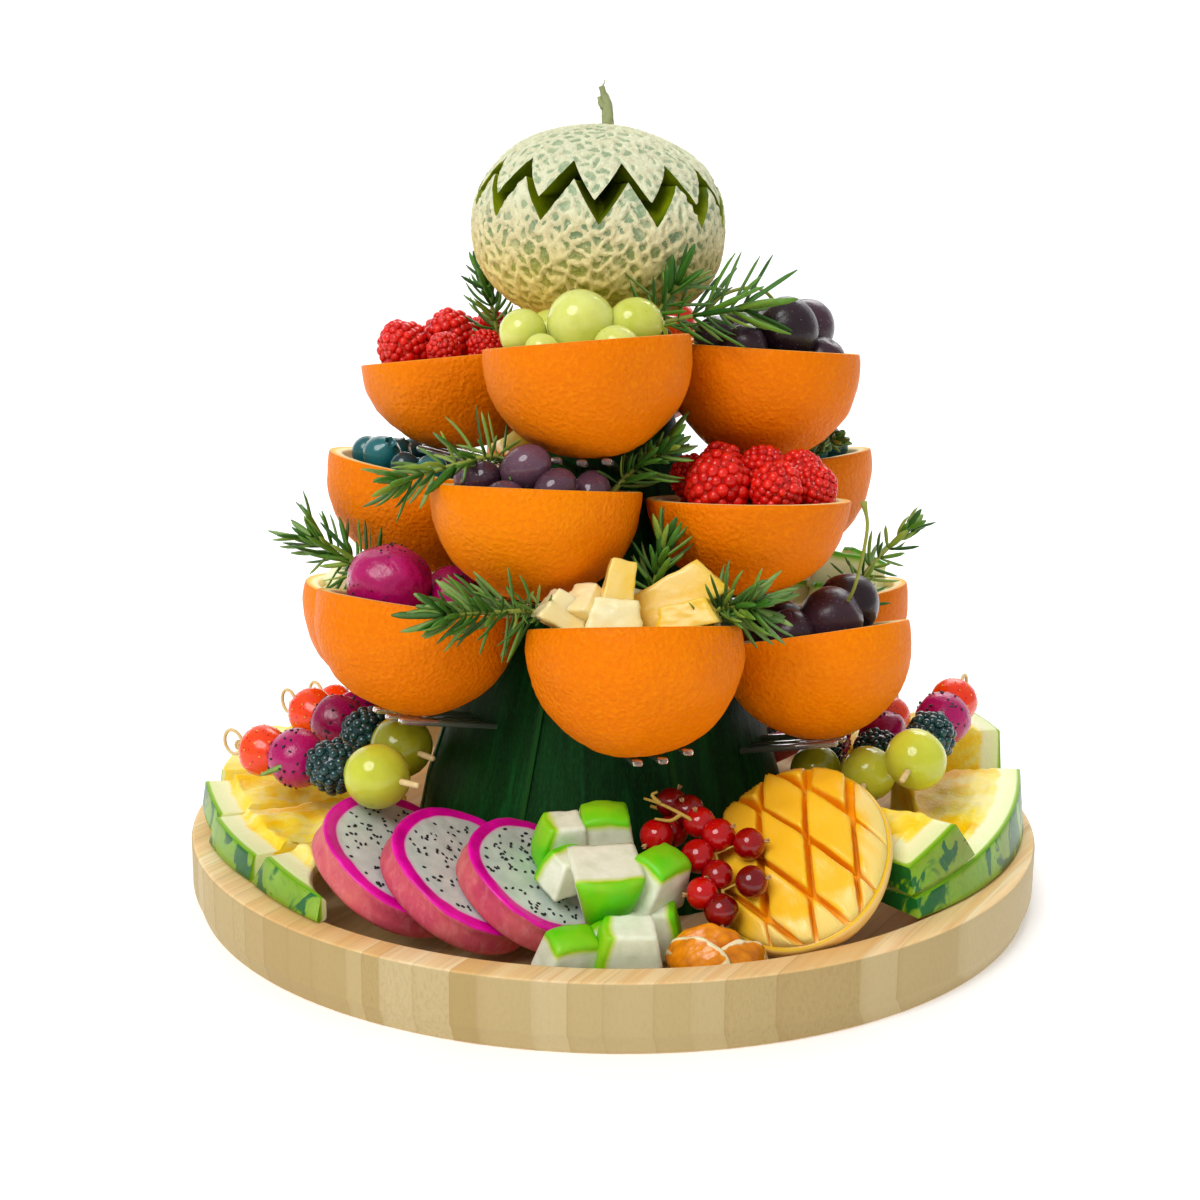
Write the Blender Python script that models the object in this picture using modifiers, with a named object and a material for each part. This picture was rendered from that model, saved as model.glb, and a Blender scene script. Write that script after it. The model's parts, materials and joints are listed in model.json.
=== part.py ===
"""Fruit tower: fifteen hollowed half oranges filled with fruit, held in three tiers by
clear prongs on a leaf-wrapped cone, a netted melon on top and cut fruit on a bamboo tray.

Origin: the centre of the tray's underside. +Z is up and -Y is the front.
Lengths below are millimetres; MM turns them into metres.
"""
import math
import random

import bmesh
import bpy
from mathutils import Euler, Matrix, Vector

MM = 0.001
GAP = 0.3
UNION_TRIES = 12
SHAKE = 0.05
MERGES = (5e-6, 1e-6, 0.0)

# Bamboo tray
TRAY_RADIUS = 180.0
TRAY_HEIGHT = 28.0
RIM_WIDTH = 13.6
TRAY_FLOOR = 10.0
FOOT_SETBACK = 2.4
FOOT_HEIGHT = 7.5
TRAY_STEPS = 40

# Leaf-wrapped cone: radius at each height
CONE_AXIS_X = -4.0
CONE_PROFILE = [(82.0, TRAY_FLOOR + GAP), (75.4, 45.0), (60.4, 90.0), (49.4, 120.0),
                (31.6, 175.0), (21.0, 225.0), (18.0, 237.6)]
CONE_SIDES = 16
LEAF_COUNT = 6
LEAF_STEP = 1.6
LEAF_TWIST = 0.004

# Clear prongs, three under each cup
PRONG_WIDTH = 4.0
PRONG_HEIGHT = 2.6
PRONG_RISE = math.radians(13.0)
PRONG_SPREAD = 9.5
PRONG_SHIFT = {"l0": 9.5, "t1": -5.0}
PRONG_REACH = 6.0

# Half-orange cups: centre of the fruit, radius, cut height above the centre, lean of the rim
CUPS = {
    "t0": ((-12.0, -63.2, 231.8), 39.8, 4.8, (-0.085, 0.099)),
    "t1": ((59.5, -10.0, 222.4), 39.3, 7.0, (0.054, 0.085)),
    "t2": ((10.0, 63.0, 226.0), 39.5, 4.5, (0.0, -0.06)),
    "t3": ((-67.2, 10.0, 224.0), 40.0, -1.0, (-0.1, 0.095)),
    "m0": ((-30.9, -70.3, 178.9), 40.7, 2.6, (0.033, 0.158)),
    "m1": ((51.5, -51.5, 176.9), 40.3, -2.5, (0.0, 0.12)),
    "m2": ((71.2, 38.5, 173.5), 41.0, 3.0, (-0.13, 0.10)),
    "m3": ((-18.0, 76.0, 175.0), 40.5, 4.0, (0.0, -0.14)),
    "m4": ((-80.1, 8.0, 173.9), 42.0, 3.5, (0.16, 0.06)),
    "l0": ((6.7, -101.6, 126.6), 40.6, 7.6, (-0.023, 0.254)),
    "l1": ((80.5, -43.1, 114.5), 39.0, 4.0, (-0.15, 0.24)),
    "l2": ((92.3, 58.5, 108.5), 42.0, 4.0, (-0.13, 0.10)),
    "l3": ((-9.0, 103.0, 116.0), 41.0, 6.0, (0.02, -0.25)),
    "l4": ((-97.7, 43.1, 109.9), 41.5, 4.0, (0.15, 0.06)),
    "l5": ((-78.0, -58.5, 129.1), 40.6, 4.0, (0.139, 0.20)),
}
CUP_WALL = 6.0
BIG_FRUIT, SMALL_FRUIT = 12.4, 9.6
HOLLOW_DEPTH = 16.0
HOLLOW_FLOOR = 0.7
CUP_STEPS = 12
CUP_ARCS = 4
HEAP_STEPS = 8
HEAP_CROWN = 5.0
FLOOR_STEP = 0.06
LOW_CROWNS = {"m4": 0.8, "m2": 1.5, "m0": 2.5, "m1": 3.0}

# Netted melon, cut in two by a zigzag
MELON_CENTRE = (-8.0, 0.0, 278.6)
MELON_RADIUS = 51.2
MELON_HALF_HEIGHT = 40.2
LID_SQUASH = 0.886
MELON_TILT = math.radians(3.0)
TEETH = 14
BASE_TIP, BASE_NOTCH = 17.4, 0.9
LID_TIP, LID_NOTCH = 9.9, 24.4
LID_TURN = math.radians(-2.5)
CUT_CENTRE = 12.5
STEM_HEIGHT = 16.5

# Fruit in each cup: x and y from the rim's centre, height above the rim, radius
FRUIT = {
    "t0": [(-23, -10, 4.5, 9.6), (-1, -10, 6.6, 13.4), (19, -8, 5, 10.5), (-16, -20, 0.5, 6.5),
           (-13, 12, 4, 10)],
    "t1": [(7, -10, 7.8, 13.2), (17, 12, 9, 12.5), (-21, -9, 2.6, 9), (-11, 2, 6, 8.5), (-6, 20, 8, 10)],
    "t2": [(0, -2, 7, 12), (-19, 6, 5, 10), (17, 8, 5, 10.5), (2, 20, 4, 9.5), (-4, -22, 3, 8)],
    "t3": [(-21, -8, 6, 11), (-1, -3, 9, 11), (15, 8, 9, 9), (-3, -22, 3, 7.5), (14, -19, 2.5, 7.5),
           (-10, 17, 5, 10)],
    "m0": [(-4, -14, 7.5, 10.3), (-21, -9, 2, 8), (21, -8, 3.7, 9.5), (8, -6, 2, 9), (-8, 10, 2, 9)],
    "m1": [(-11, -2, 13, 9.5), (-13, -15, 6, 13), (5, -4, 12, 9.5), (20, -3, 10, 10), (9, -20, 5, 10.5),
           (25, -10, 5, 9), (-22, 7, 8, 9)],
    "m2": [(21, -3, 5, 8.5), (15, -15, 2, 6.5), (26, 9, 2, 7), (8, 4, 3, 8), (-8, -2, 2, 9)],
    "m3": [(0, 6, 4, 11), (-18, 10, 3, 9.5), (18, 8, 3, 10), (2, 23, 2, 8.5), (-6, -12, 2, 10)],
    "m4": [(-20, -8, 4, 7.5), (-27, 2, 3, 6.8), (-7, -6, 3.5, 7.5), (-5, -21, 2, 6.5), (-15, 10, 3, 7.5),
           (8, 6, 2, 8), (10, -14, 2, 7)],
    "l1": [(7, -9, 4.5, 13), (16, 7, 9, 13), (-10, -15, 1, 10), (-13, 7, 4, 12)],
    "l3": [(0, 4, 7, 11), (-19, 4, 4, 10), (18, 8, 4, 10.5), (2, 22, 3, 9), (0, -14, 3, 9)],
    "l5": [(-10, -9, 5, 15.5), (13, -7, 4, 9.5), (12, 13, 4, 12), (-12, 15, 3, 10)],
}
CHUNK_TAPER = 0.72
# Cut pieces in cups: x, y, height, three sizes, turn about the rim's axis, lean
CHUNKS = {
    "l0": [(-26, -8, 6, 19, 14, 13, 0.3, 0.5), (-17, -7, 8, 16, 14, 14, 0.9, 0.6),
           (-6, -11, 13, 13, 13, 24, 0.1, 0.2), (15, -2, 11, 40, 14, 16, -0.1, -0.5),
           (-7, -17, 4, 22, 13, 13, 0.0, 0.1), (19, -14, 4, 24, 13, 10, -0.2, -0.2),
           (2, 18, 6, 22, 16, 16, 0.5, 0.3)],
    "l2": [(12, -8, 8, 34, 9, 18, 0.3, 0.3), (22, 6, 5, 30, 9, 18, 0.6, 0.5), (-8, 4, 4, 30, 10, 18, -0.3, 0.2),
           (4, 20, 4, 28, 10, 16, 0.2, 0.2)],
    "l4": [(-20, -10, 6, 20, 16, 15, 0.4, 0.3), (-2, -16, 4, 20, 16, 15, 0.9, 0.2),
           (-12, 12, 4, 20, 16, 16, 0.2, 0.3), (10, 4, 5, 20, 16, 15, 0.7, 0.2)],
}

# Rosemary sprigs: cup, root in the heap (x, y, height), then stem points on the tower
SPRIGS = [
    ("t0", (21, 11, -3), [(14, -45, 241), (36, -43, 248), (56, -41, 251)], 3, 25),
    ("t0", (19, 13, -3), [(13, -46, 243), (26, -46, 266)], 3, 20),
    ("t3", (17, -6, -3), [(-50, -1, 236), (-54, 4, 254)], 2, 16),
    ("m0", (-17, 4, -3), [(-46, -74, 194), (-80, -89, 187)], 4, 21),
    ("m0", (27, 1, -3), [(6, -66, 188), (17, -68, 196)], 2, 20),
    ("l0", (8, 18, -3), [(14, -86, 146), (18, -84, 163)], 2, 17),
    ("l0", (-27, -2, -3), [(-29, -101, 140), (-71, -125, 140)], 4, 23),
    ("l0", (27, -2, -3), [(38, -101, 142), (60, -107, 144)], 2, 26),
    ("l5", (-18, 17, -3), [(-99, -35, 141), (-112, -24, 144), (-124, -23, 152)], 3, 23),
    ("l1", (17, 20, -3), [(104, -2, 131), (124, 9, 151)], 3, 16),
    ("m2", (14, -22, -3), [(86, 12, 187), (91, 0, 191)], 2, 11),
]
NEEDLE_WIDTH = 2.4
STEM_RADIUS = 1.3
STALK_RADIUS = 0.9

# Cherry stalks: cup, root in the heap (x, y, height), then points on the tower
STALKS = [
    ("l1", (9, -8, 6), [(93, -60, 140), (97, -63, 164), (95, -65, 176)]),
    ("t1", (7, -6, 8), [(64, -16, 247), (56, -18, 254), (43, -20, 252), (34, -18, 243)]),
]

# Melon wedges on the tray, each value at the front end and at the back end: azimuth, outer radius, inner
# radius, underside and rind height; then the lean of the back end in degrees and the flesh's rise over the rind
WEDGES = {
    "wedge_left_front": ((-40.0, -56.6), (171.0, 169.0), (166.0, 126.0), (28.4, 28.4), (10.0, 14.5), 3.5, 3.5),
    "wedge_left_mid": ((-57.4, -73.8), (169.0, 173.5), (96.0, 92.0), (28.4, 28.4), (11.0, 14.5), 3.0, 3.5),
    "wedge_left_back": ((-74.8, -86.0), (171.0, 177.0), (92.0, 92.0), (29.0, 31.5), (11.0, 13.5), 1.5, 3.5),
    "wedge_right_low": ((43.0, 85.5), (167.5, 176.5), (140.0, 120.0), (28.4, 28.4), (8.0, 24.0), 0.0, 0.0),
    "wedge_right_top": ((42.5, 56.0), (165.0, 168.5), (145.0, 115.0), (37.2, 43.0), (11.0, 17.0), -5.0, 2.0),
    "wedge_right_back": ((97.5, 107.5), (176.0, 176.0), (132.0, 132.0), (28.4, 28.4), (30.0, 30.0), 0.0, 2.0),
    "wedge_far_right": ((108.5, 118.5), (173.0, 173.0), (110.0, 110.0), (28.4, 28.4), (15.0, 15.0), 0.0, 3.5),
    "wedge_far_left": ((-87.2, -112.0), (171.0, 173.0), (104.0, 110.0), (28.4, 28.4), (19.0, 17.0), 0.0, 3.0),
}
WEDGE_STEPS = 4
RIND_SETBACK = 2.5
WHITE_BAND = 11.0

# Dragon-fruit slices: face centre and radius
SLICES = {
    "dragon_slice_1": ((-80.0, -98.5, 44.0), 34.0),
    "dragon_slice_2": ((-53.0, -110.0, 42.5), 34.0),
    "dragon_slice_3": ((-27.0, -114.0, 42.0), 31.0),
    "dragon_slice_4": ((36.0, 117.0, 43.0), 33.0),
    "dragon_slice_5": ((63.0, 107.0, 43.0), 33.0),
    "dragon_slice_6": ((87.0, 92.0, 43.0), 33.0),
}
SLICE_NORMAL = (0.50, -0.19, 0.845)
SLICE_THICKNESS = 12.8
SLICE_SIDES = 16

# Picks: centre of the grape nearest the tip, heading to the knot, and scale of the fruit
PICKS = {
    "pick_left_1": ((-92.0, -86.0, 70.5), (-0.79, 0.61, -0.04), 1.0),
    "pick_left_2": ((-87.0, -46.0, 70.0), (-0.676, 0.743, 0.0), 1.0),
    "pick_left_3": ((-90.0, -7.0, 61.0), (-0.64, 0.76, 0.05), 0.85),
    "pick_right_1": ((120.0, -64.0, 72.0), (0.40, 0.90, 0.13), 0.95),
    "pick_right_2": ((104.0, -46.0, 60.0), (0.284, 0.948, 0.142), 0.88),
    "pick_right_3": ((84.0, -33.0, 57.0), (0.25, 0.96, 0.05), 0.82),
}
# Grape, bramble, ball and strawberry: radius, distance along the pick
PICK_FRUIT = [(13.2, 0.0), (11.2, 23.5), (12.0, 44.5), (11.4, 63.5)]
PICK_RADIUS = 1.5
PICK_TIP = 22.0
PICK_TAIL = 78.0
KNOT_RADIUS = 5.5

# Mango cheeks: centre of the cut face, its normal and its long axis
MANGOES = {
    "mango_front": ((69.0, -111.0, 48.0), (-0.35, -0.49, 0.80), (-0.03, -0.857, -0.514)),
    "mango_back": ((-64.0, 112.0, 48.0), (0.35, 0.49, 0.80), (0.03, 0.857, -0.514)),
}
MANGO_HALF = (42.0, 36.0, 21.0)
MANGO_SIDES = 14
MANGO_CROWN = 5.0
# Scored blocks: length along the fruit, width across it, how far the slanting cuts run down over that width,
# the gap, the height and the lean for each millimetre out
BLOCK_LONG, BLOCK_WIDE, BLOCK_SHEAR = 24.0, 17.0, 18.0
BLOCK_ORIGIN = (2.0, -2.4)
BLOCK_GAP = 1.8
BLOCK_HEIGHT = 12.0
BLOCK_LEAN = 0.012
BLOCK_LIMIT = 0.975

# Guava chunks in a heap: centre, three sizes, turn, and for one how much wider its top is
GUAVA = [((-20, -110, 54), (19, 16, 18), 0.3), ((-4, -105, 56), (23, 18, 17), 0.1),
         ((-18, -125, 48), (17, 14, 14), 0.7), ((-4, -134, 43), (12, 11, 25), 0.2, 2.1),
         ((15, -129, 46), (24, 18, 20), 0.9), ((-16, -153, 26), (22, 16, 18), 0.4),
         ((5, -152, 29), (24, 17, 19), 0.1), ((12, -131, 29), (24, 20, 19), 0.1),
         ((-4, -145, 27), (17, 14, 14), 0.8)]
GUAVA_BACK = [((-17, 132, 25), (26, 22, 21), 0.4), ((-1, 142, 24), (22, 19, 18), 1.0),
              ((-7, 120, 26), (26, 22, 21), 0.2), ((-13, 138, 42), (20, 17, 16), 0.8),
              ((-2, 126, 44), (20, 17, 16), 0.3), ((-21, 122, 41), (18, 15, 14), 1.2)]

# Peeled orange segments: centre, heading
SEGMENTS = [((33, -144, 22), 0.2), ((30, -153, 24), 2.6), ((44, -151, 22), 0.5), ((34, -145, 26), 0.0)]
SEGMENT_SIZE = (13.0, 6.5, 9.0)

# Red currants: centre of each berry
CURRANTS = [(22, -90, 62), (22, -97, 53), (16, -105, 54), (28, -99, 62), (32, -106, 60), (39, -112, 57),
            (31, -118, 51), (50, -118, 56), (38, -125, 46), (32, -132, 42), (50, -133, 47), (39, -136, 37)]
CURRANT_RADIUS = 6.2
CURRANT_STEM = [(14, -88, 60), (27, -96, 58), (36, -111, 54), (39, -124, 46), (40, -133, 40)]

TOWER = bpy.data.collections.new("fruit_tower")
MATERIALS = {}
SPHERES = []


def start_scene():
    for item in list(bpy.data.objects):
        bpy.data.objects.remove(item)
    bpy.context.scene.collection.children.link(TOWER)


def metres(point):
    return Vector(point) * MM


def material(name, colour, roughness):
    if name not in MATERIALS:
        made = bpy.data.materials.new(name)
        made.use_nodes = True
        shader = made.node_tree.nodes["Principled BSDF"]
        shader.inputs["Base Color"].default_value = (*colour, 1.0)
        shader.inputs["Roughness"].default_value = roughness
        MATERIALS[name] = made
    return MATERIALS[name]


def paint(name):
    colours = {
        "bamboo": ((0.72, 0.56, 0.34), 0.5), "leaf": ((0.01, 0.06, 0.03), 0.35),
        "peel": ((0.95, 0.38, 0.01), 0.4), "rind": ((0.55, 0.56, 0.36), 0.7),
        "grape": ((0.55, 0.60, 0.08), 0.2), "dark": ((0.05, 0.02, 0.05), 0.3),
        "red": ((0.62, 0.02, 0.03), 0.35), "blue": ((0.02, 0.07, 0.10), 0.4),
        "magenta": ((0.5, 0.01, 0.15), 0.3), "cream": ((0.85, 0.74, 0.35), 0.35),
        "green": ((0.45, 0.62, 0.12), 0.35), "yellow": ((0.95, 0.68, 0.08), 0.35),
        "mango": ((0.95, 0.58, 0.08), 0.35), "segment": ((0.9, 0.45, 0.03), 0.4),
    }
    return material(name, *colours[name])


def add_object(name, mesh, finish, matrix=None):
    made = bpy.data.objects.new(name, mesh)
    TOWER.objects.link(made)
    if matrix is not None:
        made.matrix_world = matrix
    mesh.materials.append(paint(finish))
    mesh.shade_smooth()
    mesh.set_sharp_from_angle(angle=math.radians(40))
    return made


def facing(centre, normal, spin=0.0):
    """Frame at a point whose Z axis is the normal."""
    turn = Vector(normal).to_track_quat("Z", "Y").to_matrix().to_4x4()
    return Matrix.Translation(metres(centre)) @ turn @ Matrix.Rotation(spin, 4, "Z")


def turned(name, profile, steps, finish, matrix=None):
    """Solid of revolution; the profile ends on the axis and runs down the outer side."""
    mesh = bpy.data.meshes.new(name)
    points = [(radius * MM, 0.0, height * MM) for radius, height in profile]
    mesh.from_pydata(points, [(i, i + 1) for i in range(len(points) - 1)], [])
    made = add_object(name, mesh, finish, matrix)
    screw = made.modifiers.new("turn", "SCREW")
    screw.steps = screw.render_steps = steps
    screw.use_merge_vertices = True
    screw.merge_threshold = 0.00001
    return made


def loft(rings, top=None, bottom=None):
    """Closed mesh through rings of equal count; a given end point closes that end as a fan."""
    shape = bmesh.new()
    rows = [[shape.verts.new(metres(p)) for p in ring] for ring in rings]
    count = len(rows[0])
    for low, high in zip(rows, rows[1:]):
        for i in range(count):
            j = (i + 1) % count
            shape.faces.new((low[i], low[j], high[j], high[i]))
    for row, apex, flip in ((rows[0], bottom, True), (rows[-1], top, False)):
        if apex is None:
            shape.faces.new(row[::-1] if flip else row)
            continue
        tip = shape.verts.new(metres(apex))
        for i in range(count):
            a, b = row[i], row[(i + 1) % count]
            shape.faces.new((b, a, tip) if flip else (a, b, tip))
    bmesh.ops.recalc_face_normals(shape, faces=shape.faces)
    bmesh.ops.triangulate(shape, faces=shape.faces)
    mesh = bpy.data.meshes.new("loft")
    shape.to_mesh(mesh)
    shape.free()
    return mesh


def flatten(mesh, floor):
    """Push what lies below a floor, given by a point and a normal, up onto it."""
    level, up = floor
    for vert in mesh.vertices:
        vert.co -= up * min((vert.co - level).dot(up), 0.0)
    return mesh


def ball(matrix, radii, segments=8, rings=4):
    shape = bmesh.new()
    bmesh.ops.create_uvsphere(shape, u_segments=segments, v_segments=rings, radius=MM)
    bmesh.ops.transform(shape, matrix=matrix @ Matrix.Diagonal((*radii, 1.0)), verts=shape.verts)
    mesh = bpy.data.meshes.new("ball")
    shape.to_mesh(mesh)
    shape.free()
    return mesh


def block(matrix, sizes, taper=1.0):
    """Box whose top is narrowed by taper."""
    shape = bmesh.new()
    bmesh.ops.create_cube(shape, size=MM)
    for vert in shape.verts:
        if vert.co.z > 0:
            vert.co.x *= taper
            vert.co.y *= taper
    bmesh.ops.transform(shape, matrix=matrix @ Matrix.Diagonal((*sizes, 1.0)), verts=shape.verts)
    mesh = bpy.data.meshes.new("block")
    shape.to_mesh(mesh)
    shape.free()
    return mesh


def tube(points, radius, sides=1):
    """Rod along points, in metres, with filled ends."""
    curve = bpy.data.curves.new("tube", "CURVE")
    curve.dimensions = "3D"
    curve.bevel_depth = radius * MM
    curve.bevel_resolution = sides
    curve.use_fill_caps = True
    spline = curve.splines.new("POLY")
    spline.points.add(len(points) - 1)
    for target, point in zip(spline.points, points):
        target.co = (*point, 1.0)
    holder = bpy.data.objects.new("tube", curve)
    bpy.context.scene.collection.objects.link(holder)
    bpy.context.view_layer.update()
    mesh = bpy.data.meshes.new_from_object(holder.evaluated_get(bpy.context.evaluated_depsgraph_get()))
    bpy.data.objects.remove(holder)
    shape = bmesh.new()
    shape.from_mesh(mesh)
    bmesh.ops.remove_doubles(shape, verts=shape.verts, dist=1e-6)
    bmesh.ops.recalc_face_normals(shape, faces=shape.faces)
    shape.to_mesh(mesh)
    shape.free()
    return mesh


def spindle(base, tip, width, normal):
    """Needle with a three-sided waist."""
    along = (tip - base).normalized()
    side = along.cross(normal).normalized()
    lift = side.cross(along)
    waist = base.lerp(tip, 0.45)
    half = width * MM / 2
    ring = [waist + side * half, waist + lift * half * 0.9, waist - side * half]
    scale = 1.0 / MM
    return loft([[p * scale for p in ring]], top=tip * scale, bottom=base * scale)


def bodies(shape):
    """Face groups joined by edges, each with its signed volume, largest first."""
    left = set(shape.faces)
    groups = []
    while left:
        stack = [left.pop()]
        group = []
        while stack:
            face = stack.pop()
            group.append(face)
            for edge in face.edges:
                for other in edge.link_faces:
                    if other in left:
                        left.remove(other)
                        stack.append(other)
        volume = sum(f.verts[0].co.dot(f.verts[1].co.cross(f.verts[2].co)) / 6 for f in group)
        groups.append((volume, group))
    return sorted(groups, key=lambda item: -item[0])


def outward(mesh):
    """Turn a closed mesh's faces out."""
    shape = bmesh.new()
    shape.from_mesh(mesh)
    if shape.calc_volume(signed=True) < 0:
        bmesh.ops.reverse_faces(shape, faces=shape.faces)
        shape.to_mesh(mesh)
    volume = shape.calc_volume()
    shape.free()
    return volume


def unpinch(shape):
    """Turn a diagonal that two faces' triangles happen to share, so that each edge has two faces."""
    for edge in [e for e in shape.edges if len(e.link_faces) == 4]:
        u, v = edge.verts
        faces = list(edge.link_faces)
        for first in faces:
            twins = [f for f in faces if f is not first and f.normal.dot(first.normal) > 0.999]
            if not twins:
                continue
            second = twins[0]
            a = next(w for w in first.verts if w not in (u, v))
            b = next(w for w in second.verts if w not in (u, v))
            normal = first.normal
            loop = [w for w in first.verts]
            if loop[(loop.index(u) + 1) % 3] is not v:
                u, v = v, u
            corners = (v, a, u, b)
            turns = [(q.co - p.co).cross(r.co - q.co).dot(normal)
                     for p, q, r in zip(corners, corners[1:] + corners[:1], corners[2:] + corners[:2])]
            if min(turns) <= 0:
                u, v = edge.verts
                continue
            bmesh.ops.delete(shape, geom=[first, second], context="FACES_ONLY")
            shape.faces.new((v, a, b))
            shape.faces.new((a, u, b))
            break
    shape.normal_update()


def tidy(mesh, least, merge, method):
    """Keep the main body, without scraps and sealed hollows; None when it isn't whole."""
    shape = bmesh.new()
    shape.from_mesh(mesh)
    if merge:
        bmesh.ops.remove_doubles(shape, verts=shape.verts, dist=merge)
        bmesh.ops.dissolve_degenerate(shape, edges=shape.edges, dist=merge)
    bmesh.ops.triangulate(shape, faces=shape.faces, ngon_method=method)
    unpinch(shape)
    groups = bodies(shape)
    for _, group in groups[1:]:
        bmesh.ops.delete(shape, geom=group, context="FACES")
    closed = all(len(edge.link_faces) == 2 for edge in shape.edges)
    whole = closed and groups and groups[0][0] > least
    if whole:
        shape.to_mesh(mesh)
    shape.free()
    return mesh if whole else None


def fuse(name, meshes, finish):
    """One body from closed meshes that cross each other.

    A union that fails is tried again with its pieces slightly shaken, and then with fewer.
    """
    least = max(outward(mesh) for mesh in meshes) * 0.98
    holder = bpy.data.collections.new(name + "_pieces")
    bpy.context.scene.collection.children.link(holder)
    core = bpy.data.objects.new(name + "_core", meshes[0])
    bpy.context.scene.collection.objects.link(core)
    for mesh in meshes[1:]:
        holder.objects.link(bpy.data.objects.new(name + "_piece", mesh))
    union = core.modifiers.new("union", "BOOLEAN")
    union.operand_type = "COLLECTION"
    union.collection = holder
    union.operation = "UNION"
    dice = random.Random(3)
    result = None
    for attempt in range(UNION_TRIES):
        union.solver = ("EXACT", "MANIFOLD")[attempt % 2]
        bpy.context.view_layer.update()
        graph = bpy.context.evaluated_depsgraph_get()
        joined = core.evaluated_get(graph)
        tries = (tidy(bpy.data.meshes.new_from_object(joined), least, merge, method)
                 for merge in MERGES for method in ("BEAUTY", "EAR_CLIP"))
        result = next((mesh for mesh in tries if mesh), None)
        if result:
            break
        if attempt >= UNION_TRIES // 2:
            bpy.data.objects.remove(holder.objects[-1])
        for item in holder.objects:
            item.location = [dice.uniform(-SHAKE, SHAKE) * MM for _ in range(3)]
    for item in list(holder.objects) + [core]:
        bpy.data.objects.remove(item)
    bpy.data.collections.remove(holder)
    if result is None:
        raise RuntimeError(name + " did not close")
    result.name = name
    result.materials.clear()
    return add_object(name, result, finish)


class Cup:
    """One half orange: its frame, and where points lie against its rim."""

    def __init__(self, key):
        self.centre, self.radius, self.cut, lean = CUPS[key]
        self.key = key
        self.normal = Vector((*lean, math.sqrt(1 - lean[0] ** 2 - lean[1] ** 2)))
        self.frame = facing(self.centre, self.normal)
        self.across = Vector((self.normal.z, 0.0, -self.normal.x)).normalized()
        self.deep = self.normal.cross(self.across)
        self.rim = math.sqrt(self.radius ** 2 - self.cut ** 2)
        self.mouth = self.rim - CUP_WALL
        self.top = metres(self.centre) + self.normal * self.cut * MM

    def at(self, x, y, height):
        return self.top + (self.across * x + self.deep * y + self.normal * height) * MM

    def holds(self, point, margin):
        """True inside the orange's outline, below its rim."""
        away = point - metres(self.centre)
        below = away.dot(self.normal) < (self.cut + margin) * MM
        return below and away.length < (self.radius + margin) * MM


ALL_CUPS = {key: Cup(key) for key in CUPS}


def cone_radius(height):
    points = CONE_PROFILE
    for (r0, z0), (r1, z1) in zip(points, points[1:]):
        if height <= z1:
            return r0 + (r1 - r0) * max(height - z0, 0.0) / (z1 - z0)
    return points[-1][0]


def in_cone(point, margin):
    x, y, z = point / MM
    if z > CONE_PROFILE[-1][1] + margin:
        return False
    return math.hypot(x - CONE_AXIS_X, y) < cone_radius(z) + LEAF_STEP + margin


def in_melon(point, margin):
    away = (point - metres(MELON_CENTRE)) / MM
    flat = math.hypot(away.x, away.y) / (MELON_RADIUS + margin)
    return math.hypot(flat, away.z / (MELON_HALF_HEIGHT + margin)) < 1.0


def prong_lines(cup):
    """Start, end and underside direction of a cup's prongs."""
    out = Vector((cup.centre[0] - CONE_AXIS_X, cup.centre[1], 0.0)).normalized()
    side = Vector((-out.y, out.x, 0.0))
    along = out * math.cos(PRONG_RISE) + Vector((0, 0, 1)) * math.sin(PRONG_RISE)
    down = out * math.sin(PRONG_RISE) - Vector((0, 0, 1)) * math.cos(PRONG_RISE)
    reach = cup.radius + GAP + PRONG_HEIGHT / 2 + 0.2
    lines = []
    for step in (-1, 0, 1):
        offset = step * PRONG_SPREAD + PRONG_SHIFT.get(cup.key, 0.0)
        drop = math.sqrt(reach ** 2 - max(abs(offset) - PRONG_WIDTH / 2, 0.0) ** 2)
        middle = Vector(cup.centre) + down * drop + side * offset
        back = 0.0
        while True:
            spot = middle - along * back
            if math.hypot(spot.x - CONE_AXIS_X, spot.y) < cone_radius(spot.z) - 4.0:
                break
            back += 1.0
        lines.append((middle - along * back, middle + along * PRONG_REACH, down))
    return lines


ALL_PRONGS = {key: prong_lines(cup) for key, cup in ALL_CUPS.items()}


def near_prong(point, margin):
    spot = point / MM
    for lines in ALL_PRONGS.values():
        for start, end, _ in lines:
            run = end - start
            share = min(max((spot - start).dot(run) / run.length_squared, 0.0), 1.0)
            if (start + run * share - spot).length < PRONG_WIDTH * 0.75 + margin:
                return True
    return False


def blocked(point, margin, owner):
    """True where a loose piece of this owner would run into something else."""
    if in_cone(point, margin) or in_melon(point, margin) or near_prong(point, margin):
        return True
    if any(cup.holds(point, margin) for cup in ALL_CUPS.values()):
        return True
    for other, centre, radius in SPHERES:
        if other != owner and (centre - point).length < (radius + margin) * MM:
            return True
    return False


def settle(cup, x, y, height, radius):
    """Lower or shrink a fruit until it clears its neighbours; None when it can't."""
    for drop in range(0, 1 + min(int(height), 6)):
        for size in (1.0, 0.9, 0.8):
            centre = cup.at(x, y, height - drop)
            reach = radius * size
            solid = [c for k, c in ALL_CUPS.items() if k != cup.key]
            free = not in_cone(centre, reach + 0.6) and not in_melon(centre, reach + 0.6)
            free = free and not near_prong(centre, reach + 0.4)
            free = free and not any(c.holds(centre, reach + 0.6) for c in solid)
            if free:
                return centre, reach
    return None


def tray():
    inner = TRAY_RADIUS - RIM_WIDTH
    profile = [(0, TRAY_FLOOR), (inner, TRAY_FLOOR), (inner, TRAY_HEIGHT),
               (TRAY_RADIUS, TRAY_HEIGHT), (TRAY_RADIUS, FOOT_HEIGHT), (TRAY_RADIUS - FOOT_SETBACK, 0), (0, 0)]
    turned("tray", profile, TRAY_STEPS, "bamboo")


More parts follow.
